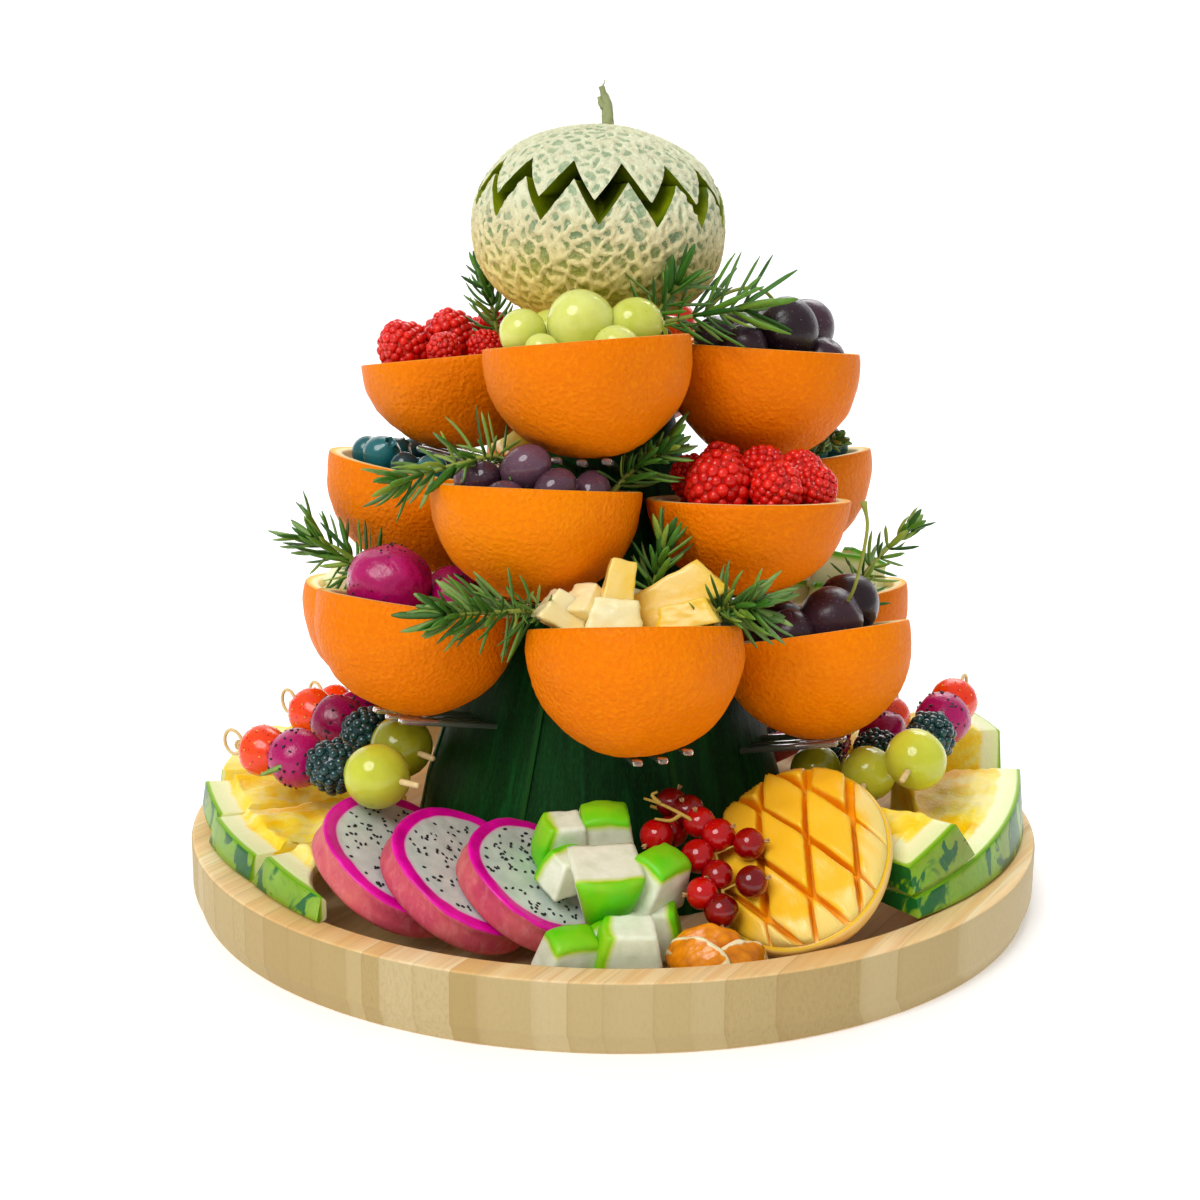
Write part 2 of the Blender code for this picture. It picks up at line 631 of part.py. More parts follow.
def stand():
    """The cone in overlapping leaves, with its prongs."""
    rings = []
    for radius, height in CONE_PROFILE:
        ring = []
        for i in range(CONE_SIDES):
            turn = 2 * math.pi * i / CONE_SIDES
            fold = (LEAF_COUNT * i / CONE_SIDES + height * LEAF_TWIST) % 1.0
            reach = radius + LEAF_STEP * fold * min(1.0, radius / 30.0)
            ring.append((CONE_AXIS_X + reach * math.cos(turn), reach * math.sin(turn), height))
        rings.append(ring)
    pieces = [loft(rings)]
    for lines in ALL_PRONGS.values():
        for start, end, down in lines:
            along = (end - start).normalized()
            side = along.cross(down)
            turn = Matrix((along, side, -down)).transposed().to_4x4()
            place = Matrix.Translation(metres((start + end) / 2)) @ turn
            pieces.append(block(place, ((end - start).length, PRONG_WIDTH, PRONG_HEIGHT)))
    fuse("stand", pieces, "leaf")


def cup_profile(cup):
    low = math.radians(-90)
    high = math.asin(cup.cut / cup.radius)
    depth = cup.cut - HOLLOW_DEPTH
    profile = [(0, depth), (cup.mouth * HOLLOW_FLOOR, depth), (cup.mouth, cup.cut)]
    for i in range(CUP_ARCS + 1):
        angle = high + (low - high) * i / CUP_ARCS
        profile.append((cup.radius * max(math.cos(angle), 0.0), cup.radius * math.sin(angle)))
    profile[-1] = (0, -cup.radius)
    return profile


def heap_core(cup):
    """What fills the hollow: clear of its wall, crowned above the rim."""
    wall = cup.mouth * math.cos(math.pi / CUP_STEPS) - 0.8
    crown = LOW_CROWNS.get(cup.key, HEAP_CROWN)
    levels = [(wall * HOLLOW_FLOOR - 1.0, GAP - HOLLOW_DEPTH), (wall, -0.2), (wall * 0.62, crown * 0.7)]
    rings = []
    for radius, height in levels:
        ring = []
        for i in range(HEAP_STEPS):
            turn = 2 * math.pi * i / HEAP_STEPS
            ring.append(cup.at(radius * math.cos(turn), radius * math.sin(turn), height) / MM)
        rings.append(ring)
    return loft(rings, top=cup.at(0, 0, crown) / MM)


def needles(owner, points, rows, length, dice):
    """Stem of a sprig and the needles that clear everything else."""
    pieces = [tube(points, STEM_RADIUS, 0)]
    start, end = points[1], points[-1]
    along = (end - start).normalized()
    side = along.cross(Vector((0.1, 0.2, 1.0))).normalized()
    lift = side.cross(along)
    for row in range(rows + 1):
        share = row / rows
        base = start.lerp(end, share)
        for k in range(2):
            turn = math.pi * (k + row * 0.37) + dice.uniform(-0.4, 0.4)
            out = side * math.cos(turn) + lift * math.sin(turn)
            heading = (along * (0.5 + 0.6 * share) + out * (1.15 - 0.5 * share)).normalized()
            reach = length * dice.uniform(0.8, 1.1) * (1.0 - 0.25 * share)
            for size in (1.0, 0.75, 0.5):
                tip = base + heading * reach * size * MM
                root = base + out * 0.4 * MM
                spots = [base.lerp(tip, t) for t in (0.3, 0.5, 0.75, 1.0)]
                if not any(blocked(spot, 1.5, owner) for spot in spots):
                    pieces.append(spindle(root, tip, NEEDLE_WIDTH, lift))
                    break
    return pieces


def filling(key):
    cup = ALL_CUPS[key]
    pieces = [heap_core(cup)]

    def floor():
        """Just above the rim, and never level with another piece's underside."""
        return cup.at(0, 0, GAP + FLOOR_STEP * len(pieces)), cup.normal

    dice = random.Random("heap " + key)
    for x, y, height, radius in FRUIT.get(key, []):
        found = settle(cup, x, y, height, radius)
        if found is None:
            continue
        centre, reach = found
        turn = Euler([dice.uniform(0, 3) for _ in range(3)]).to_matrix().to_4x4()
        radii = (reach * 0.98, reach * 0.94, reach)
        sides, rings = 6 if reach > BIG_FRUIT else 5, 3 if reach < SMALL_FRUIT else 4
        pieces.append(flatten(ball(Matrix.Translation(centre) @ turn, radii, sides, rings), floor()))
        SPHERES.append((key, centre, reach))
    for x, y, height, wide, deep, tall, spin, lean in CHUNKS.get(key, []):
        turn = Matrix.Rotation(spin, 4, "Z") @ Matrix.Rotation(lean, 4, "Y")
        place = Matrix.Translation(cup.at(x, y, height)) @ cup.frame.to_3x3().to_4x4() @ turn
        pieces.append(flatten(block(place, (wide, deep, tall), CHUNK_TAPER), floor()))
        SPHERES.append((key, cup.at(x, y, height), max(wide, tall) * 0.5))
    return pieces


def cups_and_fillings():
    finishes = {"t0": "grape", "t1": "dark", "t2": "red", "t3": "red", "m0": "dark", "m1": "red", "m2": "blue",
                "m3": "grape", "m4": "blue", "l0": "cream", "l1": "dark", "l2": "green", "l3": "red",
                "l4": "green", "l5": "magenta"}
    heaps = {}
    for key, cup in ALL_CUPS.items():
        turned("cup_" + key, cup_profile(cup), CUP_STEPS, "peel", cup.frame)
        heaps[key] = filling(key)
    for key, root, stalk in STALKS:
        points = [ALL_CUPS[key].at(*root)] + [metres(point) for point in stalk]
        heaps[key].append(tube(points, STALK_RADIUS, 0))
    dice = random.Random(7)
    for key, root, stem, rows, length in SPRIGS:
        points = [ALL_CUPS[key].at(*root)] + [metres(point) for point in stem]
        heaps[key] += needles(key, points, rows, length, dice)
    for key, pieces in heaps.items():
        fuse("filling_" + key, pieces, finishes[key])


def melon_point(turn, height):
    """Point of the melon's skin at a height above its centre."""
    radius = MELON_RADIUS * math.sqrt(max(1 - (height / MELON_HALF_HEIGHT) ** 2, 0.0))
    return (radius * math.cos(turn), radius * math.sin(turn), height)


def squash(height):
    """The lid is a little flatter than the rest above its zigzag edge."""
    return LID_NOTCH + (height - LID_NOTCH) * LID_SQUASH


def melon():
    """Both halves end in a zigzag whose knife cuts run to the middle."""
    place = Matrix.Translation(metres(MELON_CENTRE)) @ Matrix.Rotation(MELON_TILT, 4, "Y")
    step = math.pi / TEETH
    front = -math.pi / 2
    count = 2 * TEETH

    def ring(height, turn):
        return [melon_point(front + turn + step * i, height) for i in range(count)]

    def zigzag(even, odd, turn):
        return [melon_point(front + turn + step * i, even if i % 2 == 0 else odd) for i in range(count)]

    base_rings = [ring(h, 0.0) for h in (-37.0, -29.0, -16.0)]
    base_rings.append(zigzag(BASE_NOTCH, BASE_TIP, 0.0))
    base = loft(base_rings, top=(0, 0, CUT_CENTRE - 1.0), bottom=(0, 0, -MELON_HALF_HEIGHT))
    base.transform(place)
    add_object("melon_base", base, "rind")
    lid_rings = [zigzag(LID_TIP, LID_NOTCH, LID_TURN)]
    lid_rings += [[(x, y, squash(z)) for x, y, z in ring(h, LID_TURN)] for h in (31.0, 37.5)]
    crown = squash(MELON_HALF_HEIGHT)
    lid = loft(lid_rings, top=(0, 0, crown), bottom=(0, 0, CUT_CENTRE))
    stem = [(0.5, 0, crown - 3), (0, 0, crown + 6), (-1.0, 0, crown + STEM_HEIGHT)]
    pieces = [lid, tube([metres(p) for p in stem], 2.6, 1)]
    for mesh in pieces:
        mesh.transform(place)
    fuse("melon_lid", pieces, "rind")


def ring_point(azimuth, radius, height):
    """Azimuth in degrees from the front, positive to the right."""
    turn = math.radians(azimuth)
    return (radius * math.sin(turn), -radius * math.cos(turn), height)


def wedge(name, azimuths, outers, inners, bottoms, rinds, slant, step):
    """Slice that lies on the tray's rim, rind outwards."""
    rings = []
    for i in range(WEDGE_STEPS + 1):
        share = i / WEDGE_STEPS
        azimuth, outer, bottom, rind = (a + (b - a) * share for a, b in (azimuths, outers, bottoms, rinds))
        inner = inners[0] + (inners[1] - inners[0]) * share ** 2
        top = outer - RIND_SETBACK
        white = top - WHITE_BAND
        level = bottom + rind
        if inner > white - 4:
            section = [(inner, bottom), (outer, bottom), (top, level), (inner + 2.0, level),
                       (inner + 1.0, level - 1), (inner, level - 2)]
        else:
            section = [(inner, bottom + 2), (outer, bottom), (top, level), (white, level),
                       (white - 2, level + step), (inner, level + step - 1)]
        lean = slant * share / rind
        rings.append([ring_point(azimuth + lean * (height - bottom), radius, height)
                      for radius, height in section])
    add_object(name, loft(rings), "yellow")


def dragon_slice(name, centre, size):
    """Thick oval slice with the corners of its scales."""
    back = centre[1] > 0
    normal = Vector(SLICE_NORMAL)
    if back:
        normal = Vector((-normal.x, -normal.y, normal.z))
    place = facing(centre, normal)
    rings = []
    for depth, reach in ((-SLICE_THICKNESS, 0.97), (0.0, 1.0)):
        ring = []
        for i in range(SLICE_SIDES):
            turn = 2 * math.pi * i / SLICE_SIDES
            corner = 1.0 + 0.07 * max(math.cos(turn - math.radians(200)), 0.0) ** 9
            radius = size * reach * corner * (1.0 - 0.05 * math.cos(2 * turn))
            ring.append((radius * math.cos(turn), radius * math.sin(turn), depth))
        rings.append(ring)
    mesh = loft(rings)
    mesh.transform(place)
    add_object(name, mesh, "magenta")


def pick(name, grape, heading, size):
    """Bamboo pick with four fruits and a knot at its outer end."""
    heading = Vector(heading).normalized()
    start = Vector(grape)
    turn = heading.to_track_quat("Z", "Y").to_matrix().to_4x4()
    ends = [metres(start - heading * PICK_TIP * size), metres(start + heading * PICK_TAIL * size)]
    pieces = [tube(ends, PICK_RADIUS, 0)]
    for radius, along in PICK_FRUIT:
        place = Matrix.Translation(metres(start + heading * along * size)) @ turn
        pieces.append(ball(place, (radius * size,) * 3, 5, 4 if size > 0.97 else 3))
    knot = start + heading * (PICK_TAIL * size + KNOT_RADIUS - 1.0)
    bpy.ops.mesh.primitive_torus_add(major_segments=6, minor_segments=3, major_radius=KNOT_RADIUS * MM,
                                     minor_radius=PICK_RADIUS * 0.8 * MM, location=metres(knot),
                                     rotation=(math.radians(70), 0.0, math.atan2(heading.y, heading.x)))
    loop = bpy.context.active_object
    ring = loop.data.copy()
    ring.transform(loop.matrix_world)
    bpy.data.objects.remove(loop)
    pieces.append(ring)
    fuse(name, pieces, "grape")


def mango(name, centre, normal, axis):
    """Half a mango, scored in cubes and turned out."""
    up = Vector(normal).normalized()
    along = (Vector(axis) - up * Vector(axis).dot(up)).normalized()
    side = up.cross(along)
    place = Matrix.Translation(metres(centre)) @ Matrix((along, side, up)).transposed().to_4x4()
    long_half, wide_half, deep_half = MANGO_HALF
    rings = []
    for level in (-0.8, 0.0):
        spread = math.sqrt(1 - level ** 2)
        turns = (2 * math.pi * i / MANGO_SIDES for i in range(MANGO_SIDES))
        rings.append([(long_half * spread * math.cos(a), wide_half * spread * math.sin(a), deep_half * level)
                      for a in turns])
    body = loft(rings, top=(0, 0, MANGO_CROWN), bottom=(0, 0, -deep_half))
    body.transform(place)
    pieces = [body]
    for i in range(-4, 5):
        for j in range(-2, 3):
            x = BLOCK_ORIGIN[0] + i * BLOCK_LONG + j * BLOCK_SHEAR
            y = BLOCK_ORIGIN[1] + j * BLOCK_WIDE
            edge = math.hypot((abs(x) + 5) / long_half, (abs(y) + 3) / wide_half)
            if edge > BLOCK_LIMIT:
                continue
            lean = Matrix.Rotation(x * BLOCK_LEAN, 4, "Y") @ Matrix.Rotation(-y * BLOCK_LEAN, 4, "X")
            height = MANGO_CROWN * (1 - edge ** 2) + 1.0
            size = 1.0 - 0.3 * edge ** 4
            shape = Matrix.Diagonal((size * (BLOCK_LONG - BLOCK_GAP), size * (BLOCK_WIDE - BLOCK_GAP), 1.0, 1.0))
            shape[0][1] = size * (BLOCK_SHEAR - BLOCK_GAP)
            spot = place @ Matrix.Translation(metres((x, y, height))) @ lean @ shape
            pieces.append(block(spot, (1.0, 1.0, BLOCK_HEIGHT), 0.9))
    fuse(name, pieces, "mango")


def chunk_heap(name, chunks):
    pieces = []
    for centre, sizes, spin, *taper in chunks:
        turn = Matrix.Rotation(spin, 4, "Z") @ Matrix.Rotation(0.25 + spin * 0.2, 4, "X")
        place = Matrix.Translation(metres(centre)) @ turn
        pieces.append(block(place, sizes, taper[0] if taper else CHUNK_TAPER))
    fuse(name, pieces, "green")


def orange_segments():
    pieces = []
    for centre, spin in SEGMENTS:
        place = Matrix.Translation(metres(centre)) @ Matrix.Rotation(spin, 4, "Z")
        pieces.append(ball(place, SEGMENT_SIZE, 8, 5))
    fuse("orange_segments", pieces, "segment")


def currants():
    pieces = [tube([metres(p) for p in CURRANT_STEM], 1.5, 0)]
    dice = random.Random(12)
    for centre in CURRANTS:
        turn = Euler([dice.uniform(0, 3) for _ in range(3)]).to_matrix().to_4x4()
        place = Matrix.Translation(metres(centre)) @ turn
        pieces.append(ball(place, (CURRANT_RADIUS,) * 3, 5, 3))
    fuse("red_currants", pieces, "red")


def main():
    start_scene()
    tray()
    stand()
    cups_and_fillings()
    melon()
    for name, values in WEDGES.items():
        wedge(name, *values)
    for name, values in SLICES.items():
        dragon_slice(name, *values)
    for name, values in PICKS.items():
        pick(name, *values)
    for name, values in MANGOES.items():
        mango(name, *values)
    chunk_heap("guava_front", GUAVA)
    chunk_heap("guava_back", GUAVA_BACK)
    orange_segments()
    currants()


main()
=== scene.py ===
import json
import math

import bpy
import numpy as np
from mathutils import Matrix, Vector, kdtree

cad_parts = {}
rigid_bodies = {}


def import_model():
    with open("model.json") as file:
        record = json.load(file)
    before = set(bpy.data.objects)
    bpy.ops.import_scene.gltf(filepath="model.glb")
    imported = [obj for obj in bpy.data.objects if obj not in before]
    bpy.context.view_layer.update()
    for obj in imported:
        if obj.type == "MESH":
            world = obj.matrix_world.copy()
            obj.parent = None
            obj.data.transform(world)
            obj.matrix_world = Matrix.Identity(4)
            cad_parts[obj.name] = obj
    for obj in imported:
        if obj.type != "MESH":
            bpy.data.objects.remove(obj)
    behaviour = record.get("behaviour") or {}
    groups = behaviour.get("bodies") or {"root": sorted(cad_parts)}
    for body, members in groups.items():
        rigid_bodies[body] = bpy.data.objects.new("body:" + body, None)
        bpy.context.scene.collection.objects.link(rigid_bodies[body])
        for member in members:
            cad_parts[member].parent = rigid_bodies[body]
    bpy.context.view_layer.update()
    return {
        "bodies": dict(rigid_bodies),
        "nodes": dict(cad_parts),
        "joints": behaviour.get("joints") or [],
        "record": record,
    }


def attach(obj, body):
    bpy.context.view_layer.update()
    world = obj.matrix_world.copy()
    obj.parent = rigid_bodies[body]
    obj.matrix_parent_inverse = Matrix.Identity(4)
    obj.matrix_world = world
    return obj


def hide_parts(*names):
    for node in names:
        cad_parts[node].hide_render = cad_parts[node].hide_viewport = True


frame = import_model()

# Lengths are millimetres, with +Z up and -Y towards the front; MM turns them into metres.
MM = 0.001
UP = np.array((0.0, 0.0, 1.0))
# Turn from each point to the next along an even spiral
GOLDEN = math.pi * (3 - math.sqrt(5))
# Sine waves added up in field()
WAVES = 12

# Bamboo tray
TRAY_RADIUS = 180.0
TRAY_HEIGHT = 28.0
RIM_WIDTH = 13.6
TRAY_FLOOR = 10.0
FOOT_SETBACK = 2.4
FOOT_HEIGHT = 7.5
EDGE_RADIUS = 1.6
STRIP_TURN = math.radians(30.0)

# Leaf-wrapped cone: radius at each height
CONE_AXIS_X = -4.0
CONE_PROFILE = [(82.0, 10.3), (75.4, 45.0), (60.4, 90.0), (49.4, 120.0), (31.6, 175.0), (21.0, 225.0),
                (18.0, 237.6)]

# Broad leaves round the cone: how far each slants on its way up, and its shade
LEAVES = ((0.25, 0.1), (-0.35, 0.6), (0.1, 0.25), (0.3, 0.8), (-0.2, 0.4), (0.15, 0.95), (-0.1, 0.5))
LEAF_TURN = 1.25
LEAF_THICKNESS = 0.5

# Clear prongs, three under each cup
PRONG_WIDTH = 4.0
PRONG_HEIGHT = 2.6
PRONG_RISE = math.radians(13.0)
PRONG_SPREAD = 9.5
PRONG_SHIFT = {"l0": 9.5, "t1": -5.0}
PRONG_REACH = 6.0

# Half-orange cups: centre of the fruit, radius, cut height above the centre, lean of the rim
CUPS = {
    "t0": ((-12.0, -63.2, 231.8), 39.8, 4.8, (-0.085, 0.099)),
    "t1": ((59.5, -10.0, 222.4), 39.3, 7.0, (0.054, 0.085)),
    "t2": ((10.0, 63.0, 226.0), 39.5, 4.5, (0.0, -0.06)),
    "t3": ((-67.2, 10.0, 224.0), 40.0, -1.0, (-0.1, 0.095)),
    "m0": ((-30.9, -70.3, 178.9), 40.7, 2.6, (0.033, 0.158)),
    "m1": ((51.5, -51.5, 176.9), 40.3, -2.5, (0.0, 0.12)),
    "m2": ((71.2, 38.5, 173.5), 41.0, 3.0, (-0.13, 0.10)),
    "m3": ((-18.0, 76.0, 175.0), 40.5, 4.0, (0.0, -0.14)),
    "m4": ((-80.1, 8.0, 173.9), 42.0, 3.5, (0.16, 0.06)),
    "l0": ((6.7, -101.6, 126.6), 40.6, 7.6, (-0.023, 0.254)),
    "l1": ((80.5, -43.1, 114.5), 39.0, 4.0, (-0.15, 0.24)),
    "l2": ((92.3, 58.5, 108.5), 42.0, 4.0, (-0.13, 0.10)),
    "l3": ((-9.0, 103.0, 116.0), 41.0, 6.0, (0.02, -0.25)),
    "l4": ((-97.7, 43.1, 109.9), 41.5, 4.0, (0.15, 0.06)),
    "l5": ((-78.0, -58.5, 129.1), 40.6, 4.0, (0.139, 0.20)),
}
CUP_WALL = 6.0
HOLLOW_DEPTH = 16.0
# Rings of the peel from its lowest point to the rim, and points round each ring
CUP_ROWS, CUP_STEPS = 34, 72
# The cut edge of the wall: how far in from the rim and how far below the cut
CUP_EDGE = ((0.35, 0.1), (1.0, 0.0), (2.2, 0.1), (3.6, 0.15), (5.0, 0.1))

# What fills each cup, and the fruit that shows: x, y, height above the rim, radius
KINDS = {"t0": "grape", "t1": "cherry", "t2": "strawberry", "t3": "raspberry", "m0": "dark_grape",
         "m1": "raspberry", "m2": "blueberry", "m3": "grape", "m4": "blueberry", "l1": "cherry",
         "l3": "strawberry", "l5": "dragon_ball"}
FRUIT = {
    "t0": [(-23, -10, 4.5, 9.6), (-1, -10, 6.6, 13.4), (19, -8, 5, 10.5), (-16, -20, -2, 6.5),
           (-13, 12, 4, 10)],
    "t1": [(7, -10, 7.8, 13.2), (17, 12, 9, 12.5), (-21, -9, 2.6, 9), (-11, 2, 6, 8.5), (-6, 20, 8, 10)],
    "t2": [(0, -2, 4, 11), (-19, 6, 2, 10), (17, 8, 2, 10), (2, 20, 2, 9.5), (-4, -22, 0, 8)],
    "t3": [(-21, -8, 6, 11), (-1, -3, 9, 11), (15, 8, 9, 9), (-3, -22, 3, 7.5), (14, -19, 2.5, 7.5),
           (-10, 17, 5, 10)],
    "m0": [(-4, -14, 7.5, 10.3), (-21, -9, 2, 8), (21, -8, 3.7, 9.5), (8, -6, 2, 9), (-8, 10, 2, 9)],
    "m1": [(-11, -2, 13, 9.5), (-13, -15, 6, 13), (5, -4, 12, 9.5), (20, -3, 10, 10), (9, -20, 5, 10.5),
           (25, -10, 5, 9), (-22, 7, 8, 9)],
    "m2": [(21, -3, 5, 8.5), (15, -15, 2, 6.5), (26, 9, 2, 7), (8, 4, 3, 8), (-8, -2, 2, 9)],
    "m3": [(0, 6, 4, 11), (-18, 10, 3, 9.5), (18, 8, 3, 10), (2, 23, 2, 8.5), (-6, -12, 2, 10)],
    "m4": [(-19, -8, 2, 8.5), (-26, 2, 1, 7.2), (-3, -8, 2.5, 8.5), (-8, -21, 0, 6.5), (-15, 10, 1, 7.5),
           (8, 6, 1, 8), (12, -14, 1, 7)],
    "l1": [(7, -9, 4.5, 13), (16, 7, 9, 13), (-10, -15, 1, 10), (-13, 7, 4, 12)],
    "l3": [(0, 4, 7, 11), (-19, 4, 4, 10), (18, 8, 4, 10.5), (2, 22, 3, 9), (0, -14, 3, 9)],
    "l5": [(-12, -9, 5.5, 16.5), (13, -7, 4, 9.5), (12, 13, 4, 12), (-12, 15, 3, 10)],
}
FILLER = {"grape": 9.0, "cherry": 10.0, "strawberry": 9.5, "raspberry": 8.8, "dark_grape": 8.0,
          "blueberry": 7.0, "dragon_ball": 10.5}
# Cut pieces in cups: x, y, height, three sizes, turn about the rim's axis, lean
CHUNKS = {
    "l0": [(-26, -8, 6, 19, 14, 13, 0.3, 0.5), (-17, -7, 8, 16, 14, 14, 0.9, 0.6),
           (-6, -11, 13, 13, 13, 24, 0.1, 0.2), (15, -2, 11, 40, 14, 16, -0.1, -0.5),
           (-7, -17, 4, 22, 13, 13, 0.0, 0.1), (19, -14, 4, 24, 13, 10, -0.2, -0.2),
           (2, 18, 6, 22, 16, 16, 0.5, 0.3), (-20, 10, 3, 18, 15, 13, 0.8, 0.2),
           (22, 10, 4, 18, 15, 13, 0.2, -0.2)],
    "l2": [(12, -8, 8, 34, 9, 18, 0.3, 0.3), (22, 6, 5, 30, 9, 18, 0.6, 0.5),
           (-8, 4, 4, 30, 10, 18, -0.3, 0.2), (4, 20, 4, 28, 10, 16, 0.2, 0.2),
           (-14, -14, 2, 24, 12, 14, 0.4, 0.2), (-20, -1, 0, 16, 10, 13, 0.9, 0.2),
           (-12, 18, 0, 16, 10, 13, 0.5, 0.2), (4, -22, 0, 20, 10, 12, 0.1, 0.2),
           (20, -13, 0, 16, 10, 13, 0.9, 0.1), (17, 16, 0, 16, 10, 13, -0.6, 0.2)],
    "l4": [(-20, -10, 6, 20, 16, 15, 0.4, 0.3), (-2, -16, 4, 20, 16, 15, 0.9, 0.2),
           (-12, 12, 4, 20, 16, 16, 0.2, 0.3), (10, 4, 5, 20, 16, 15, 0.7, 0.2),
           (14, -16, 1, 16, 14, 12, 0.3, 0.1), (24, -4, 0, 12, 12, 12, 0.3, 0.2),
           (5, 21, 0, 16, 13, 12, 0.5, 0.2), (-24, 3, 0, 13, 12, 12, 0.2, 0.2),
           (18, 16, 0, 13, 12, 12, 0.9, 0.1), (-6, -1, 1, 14, 12, 12, 0.6, 0.1)],
}

# Rosemary sprigs: cup, root in the heap (x, y, height), stem points on the tower, whorls, needle length
SPRIGS = [
    ("t0", (21, 11, -3), [(14, -45, 241), (34, -43, 246), (48, -41, 248)], 7, 30),
    ("t0", (19, 13, -3), [(13, -46, 243), (22, -46, 257)], 5, 24),
    ("t3", (17, -6, -3), [(-50, -1, 236), (-54, 4, 254)], 8, 16),
    ("m0", (-17, 4, -3), [(-46, -74, 194), (-80, -89, 187)], 11, 21),
    ("m0", (27, 1, -3), [(6, -66, 188), (17, -68, 196)], 8, 20),
    ("l0", (8, 18, -3), [(14, -86, 146), (18, -84, 163)], 9, 17),
    ("l0", (-27, -2, -3), [(-29, -101, 140), (-62, -119, 143)], 15, 22),
    ("l0", (27, -2, -3), [(38, -103, 142), (50, -112, 145)], 10, 23),
    ("l5", (-18, 17, -3), [(-99, -35, 141), (-112, -24, 144), (-124, -23, 152)], 11, 23),
    ("l1", (17, 20, -3), [(104, -2, 131), (124, 9, 151)], 8, 16),
    ("m2", (14, -22, -3), [(86, 12, 187), (91, 0, 191)], 6, 11),
]
# Cherry stalks: cup, root in the heap, then points on the tower
STALKS = [
    ("l1", (9, -8, 6), [(93, -60, 140), (97, -63, 164), (95, -65, 176)]),
    ("t1", (7, -6, 8), [(64, -16, 247), (56, -18, 254), (43, -20, 252), (34, -18, 243)]),
]

# Netted melon, cut in two by a zigzag
MELON_CENTRE = (-8.0, 0.0, 278.6)
MELON_RADIUS = 51.2
MELON_HALF_HEIGHT = 40.2
MELON_SIZE = np.array((MELON_RADIUS, MELON_RADIUS, MELON_HALF_HEIGHT))
LID_SQUASH = 0.886
MELON_TILT = math.radians(3.0)
TEETH = 14
BASE_TIP, BASE_NOTCH = 17.4, 0.9
LID_TIP, LID_NOTCH = 9.9, 24.4
LID_TURN = math.radians(-2.5)
CUT_CENTRE = 12.5
# Each half's skin: name, upper, steps round, rows, seed, distance between cells, width of the net, its relief
MELON_HALVES = (("melon_base_skin", False, 500, 92, 11, 5.4, 2.7, 1.5),
                ("melon_lid_skin", True, 460, 56, 41, 4.8, 2.7, 1.0))

# Melon wedges on the tray, each value at the front end and at the back end: azimuth, outer radius,
# inner radius, underside and rind height; then the lean of the back end in degrees and how far the flesh
# rises over the rind
WEDGES = {
    "wedge_left_front": ((-40.0, -56.6), (171.0, 169.0), (166.0, 126.0), (28.4, 28.4), (10.0, 14.5), 3.5,
                         3.5),
    "wedge_left_mid": ((-57.4, -73.8), (169.0, 173.5), (96.0, 92.0), (28.4, 28.4), (11.0, 14.5), 3.0, 3.5),
    "wedge_left_back": ((-74.8, -86.0), (171.0, 177.0), (92.0, 92.0), (29.0, 31.5), (11.0, 13.5), 1.5, 3.5),
    "wedge_right_low": ((43.0, 85.5), (167.5, 176.5), (140.0, 120.0), (28.4, 28.4), (8.0, 24.0), 0.0, 0.0),
    "wedge_right_top": ((42.5, 56.0), (165.0, 168.5), (145.0, 115.0), (37.2, 43.0), (11.0, 17.0), -5.0, 2.0),
    "wedge_right_back": ((97.5, 107.5), (176.0, 176.0), (132.0, 132.0), (28.4, 28.4), (30.0, 30.0), 0.0, 2.0),
    "wedge_far_right": ((108.5, 118.5), (173.0, 173.0), (110.0, 110.0), (28.4, 28.4), (15.0, 15.0), 0.0, 3.5),
    "wedge_far_left": ((-87.2, -112.0), (171.0, 173.0), (104.0, 110.0), (28.4, 28.4), (19.0, 17.0), 0.0, 3.0),
}
RIND_SETBACK = 2.5
WHITE_BAND = 11.0
# Lengthwise rows of a wedge, points along each side of its outline, and the depth where its colour is full
WEDGE_ROWS = 26
SIDE_STEPS = (16, 8, 6, 3, 22, 6)
WEDGE_DEPTH = 14.0
# Wedges whose rind also closes their front end, and those whose cut faces show no white band
RIND_AT_FRONT = ("wedge_right_low", "wedge_right_top")
NO_WHITE = ("wedge_far_left",)

# Dragon-fruit slices: face centre and radius
SLICES = {
    "dragon_slice_1": ((-80.0, -98.5, 44.0), 34.0),
    "dragon_slice_2": ((-53.0, -110.0, 42.5), 34.0),
    "dragon_slice_3": ((-27.0, -114.0, 42.0), 31.0),
    "dragon_slice_4": ((36.0, 117.0, 43.0), 33.0),
    "dragon_slice_5": ((63.0, 107.0, 43.0), 33.0),
    "dragon_slice_6": ((87.0, 92.0, 43.0), 33.0),
}
SLICE_NORMAL = (0.50, -0.19, 0.845)
SLICE_THICKNESS = 12.8
# Points round a slice, and seeds on each of its faces
SLICE_STEPS, SLICE_SEEDS = 96, 130

# Picks: centre of the grape nearest the tip, heading to the knot, and scale of the fruit
PICKS = {
    "pick_left_1": ((-92.0, -86.0, 70.5), (-0.79, 0.61, -0.04), 1.0),
    "pick_left_2": ((-87.0, -46.0, 70.0), (-0.676, 0.743, 0.0), 1.0),
    "pick_left_3": ((-90.0, -7.0, 61.0), (-0.64, 0.76, 0.05), 0.85),
    "pick_right_1": ((120.0, -64.0, 72.0), (0.40, 0.90, 0.13), 0.95),
    "pick_right_2": ((104.0, -46.0, 60.0), (0.284, 0.948, 0.142), 0.88),
    "pick_right_3": ((84.0, -33.0, 57.0), (0.25, 0.96, 0.05), 0.82),
}
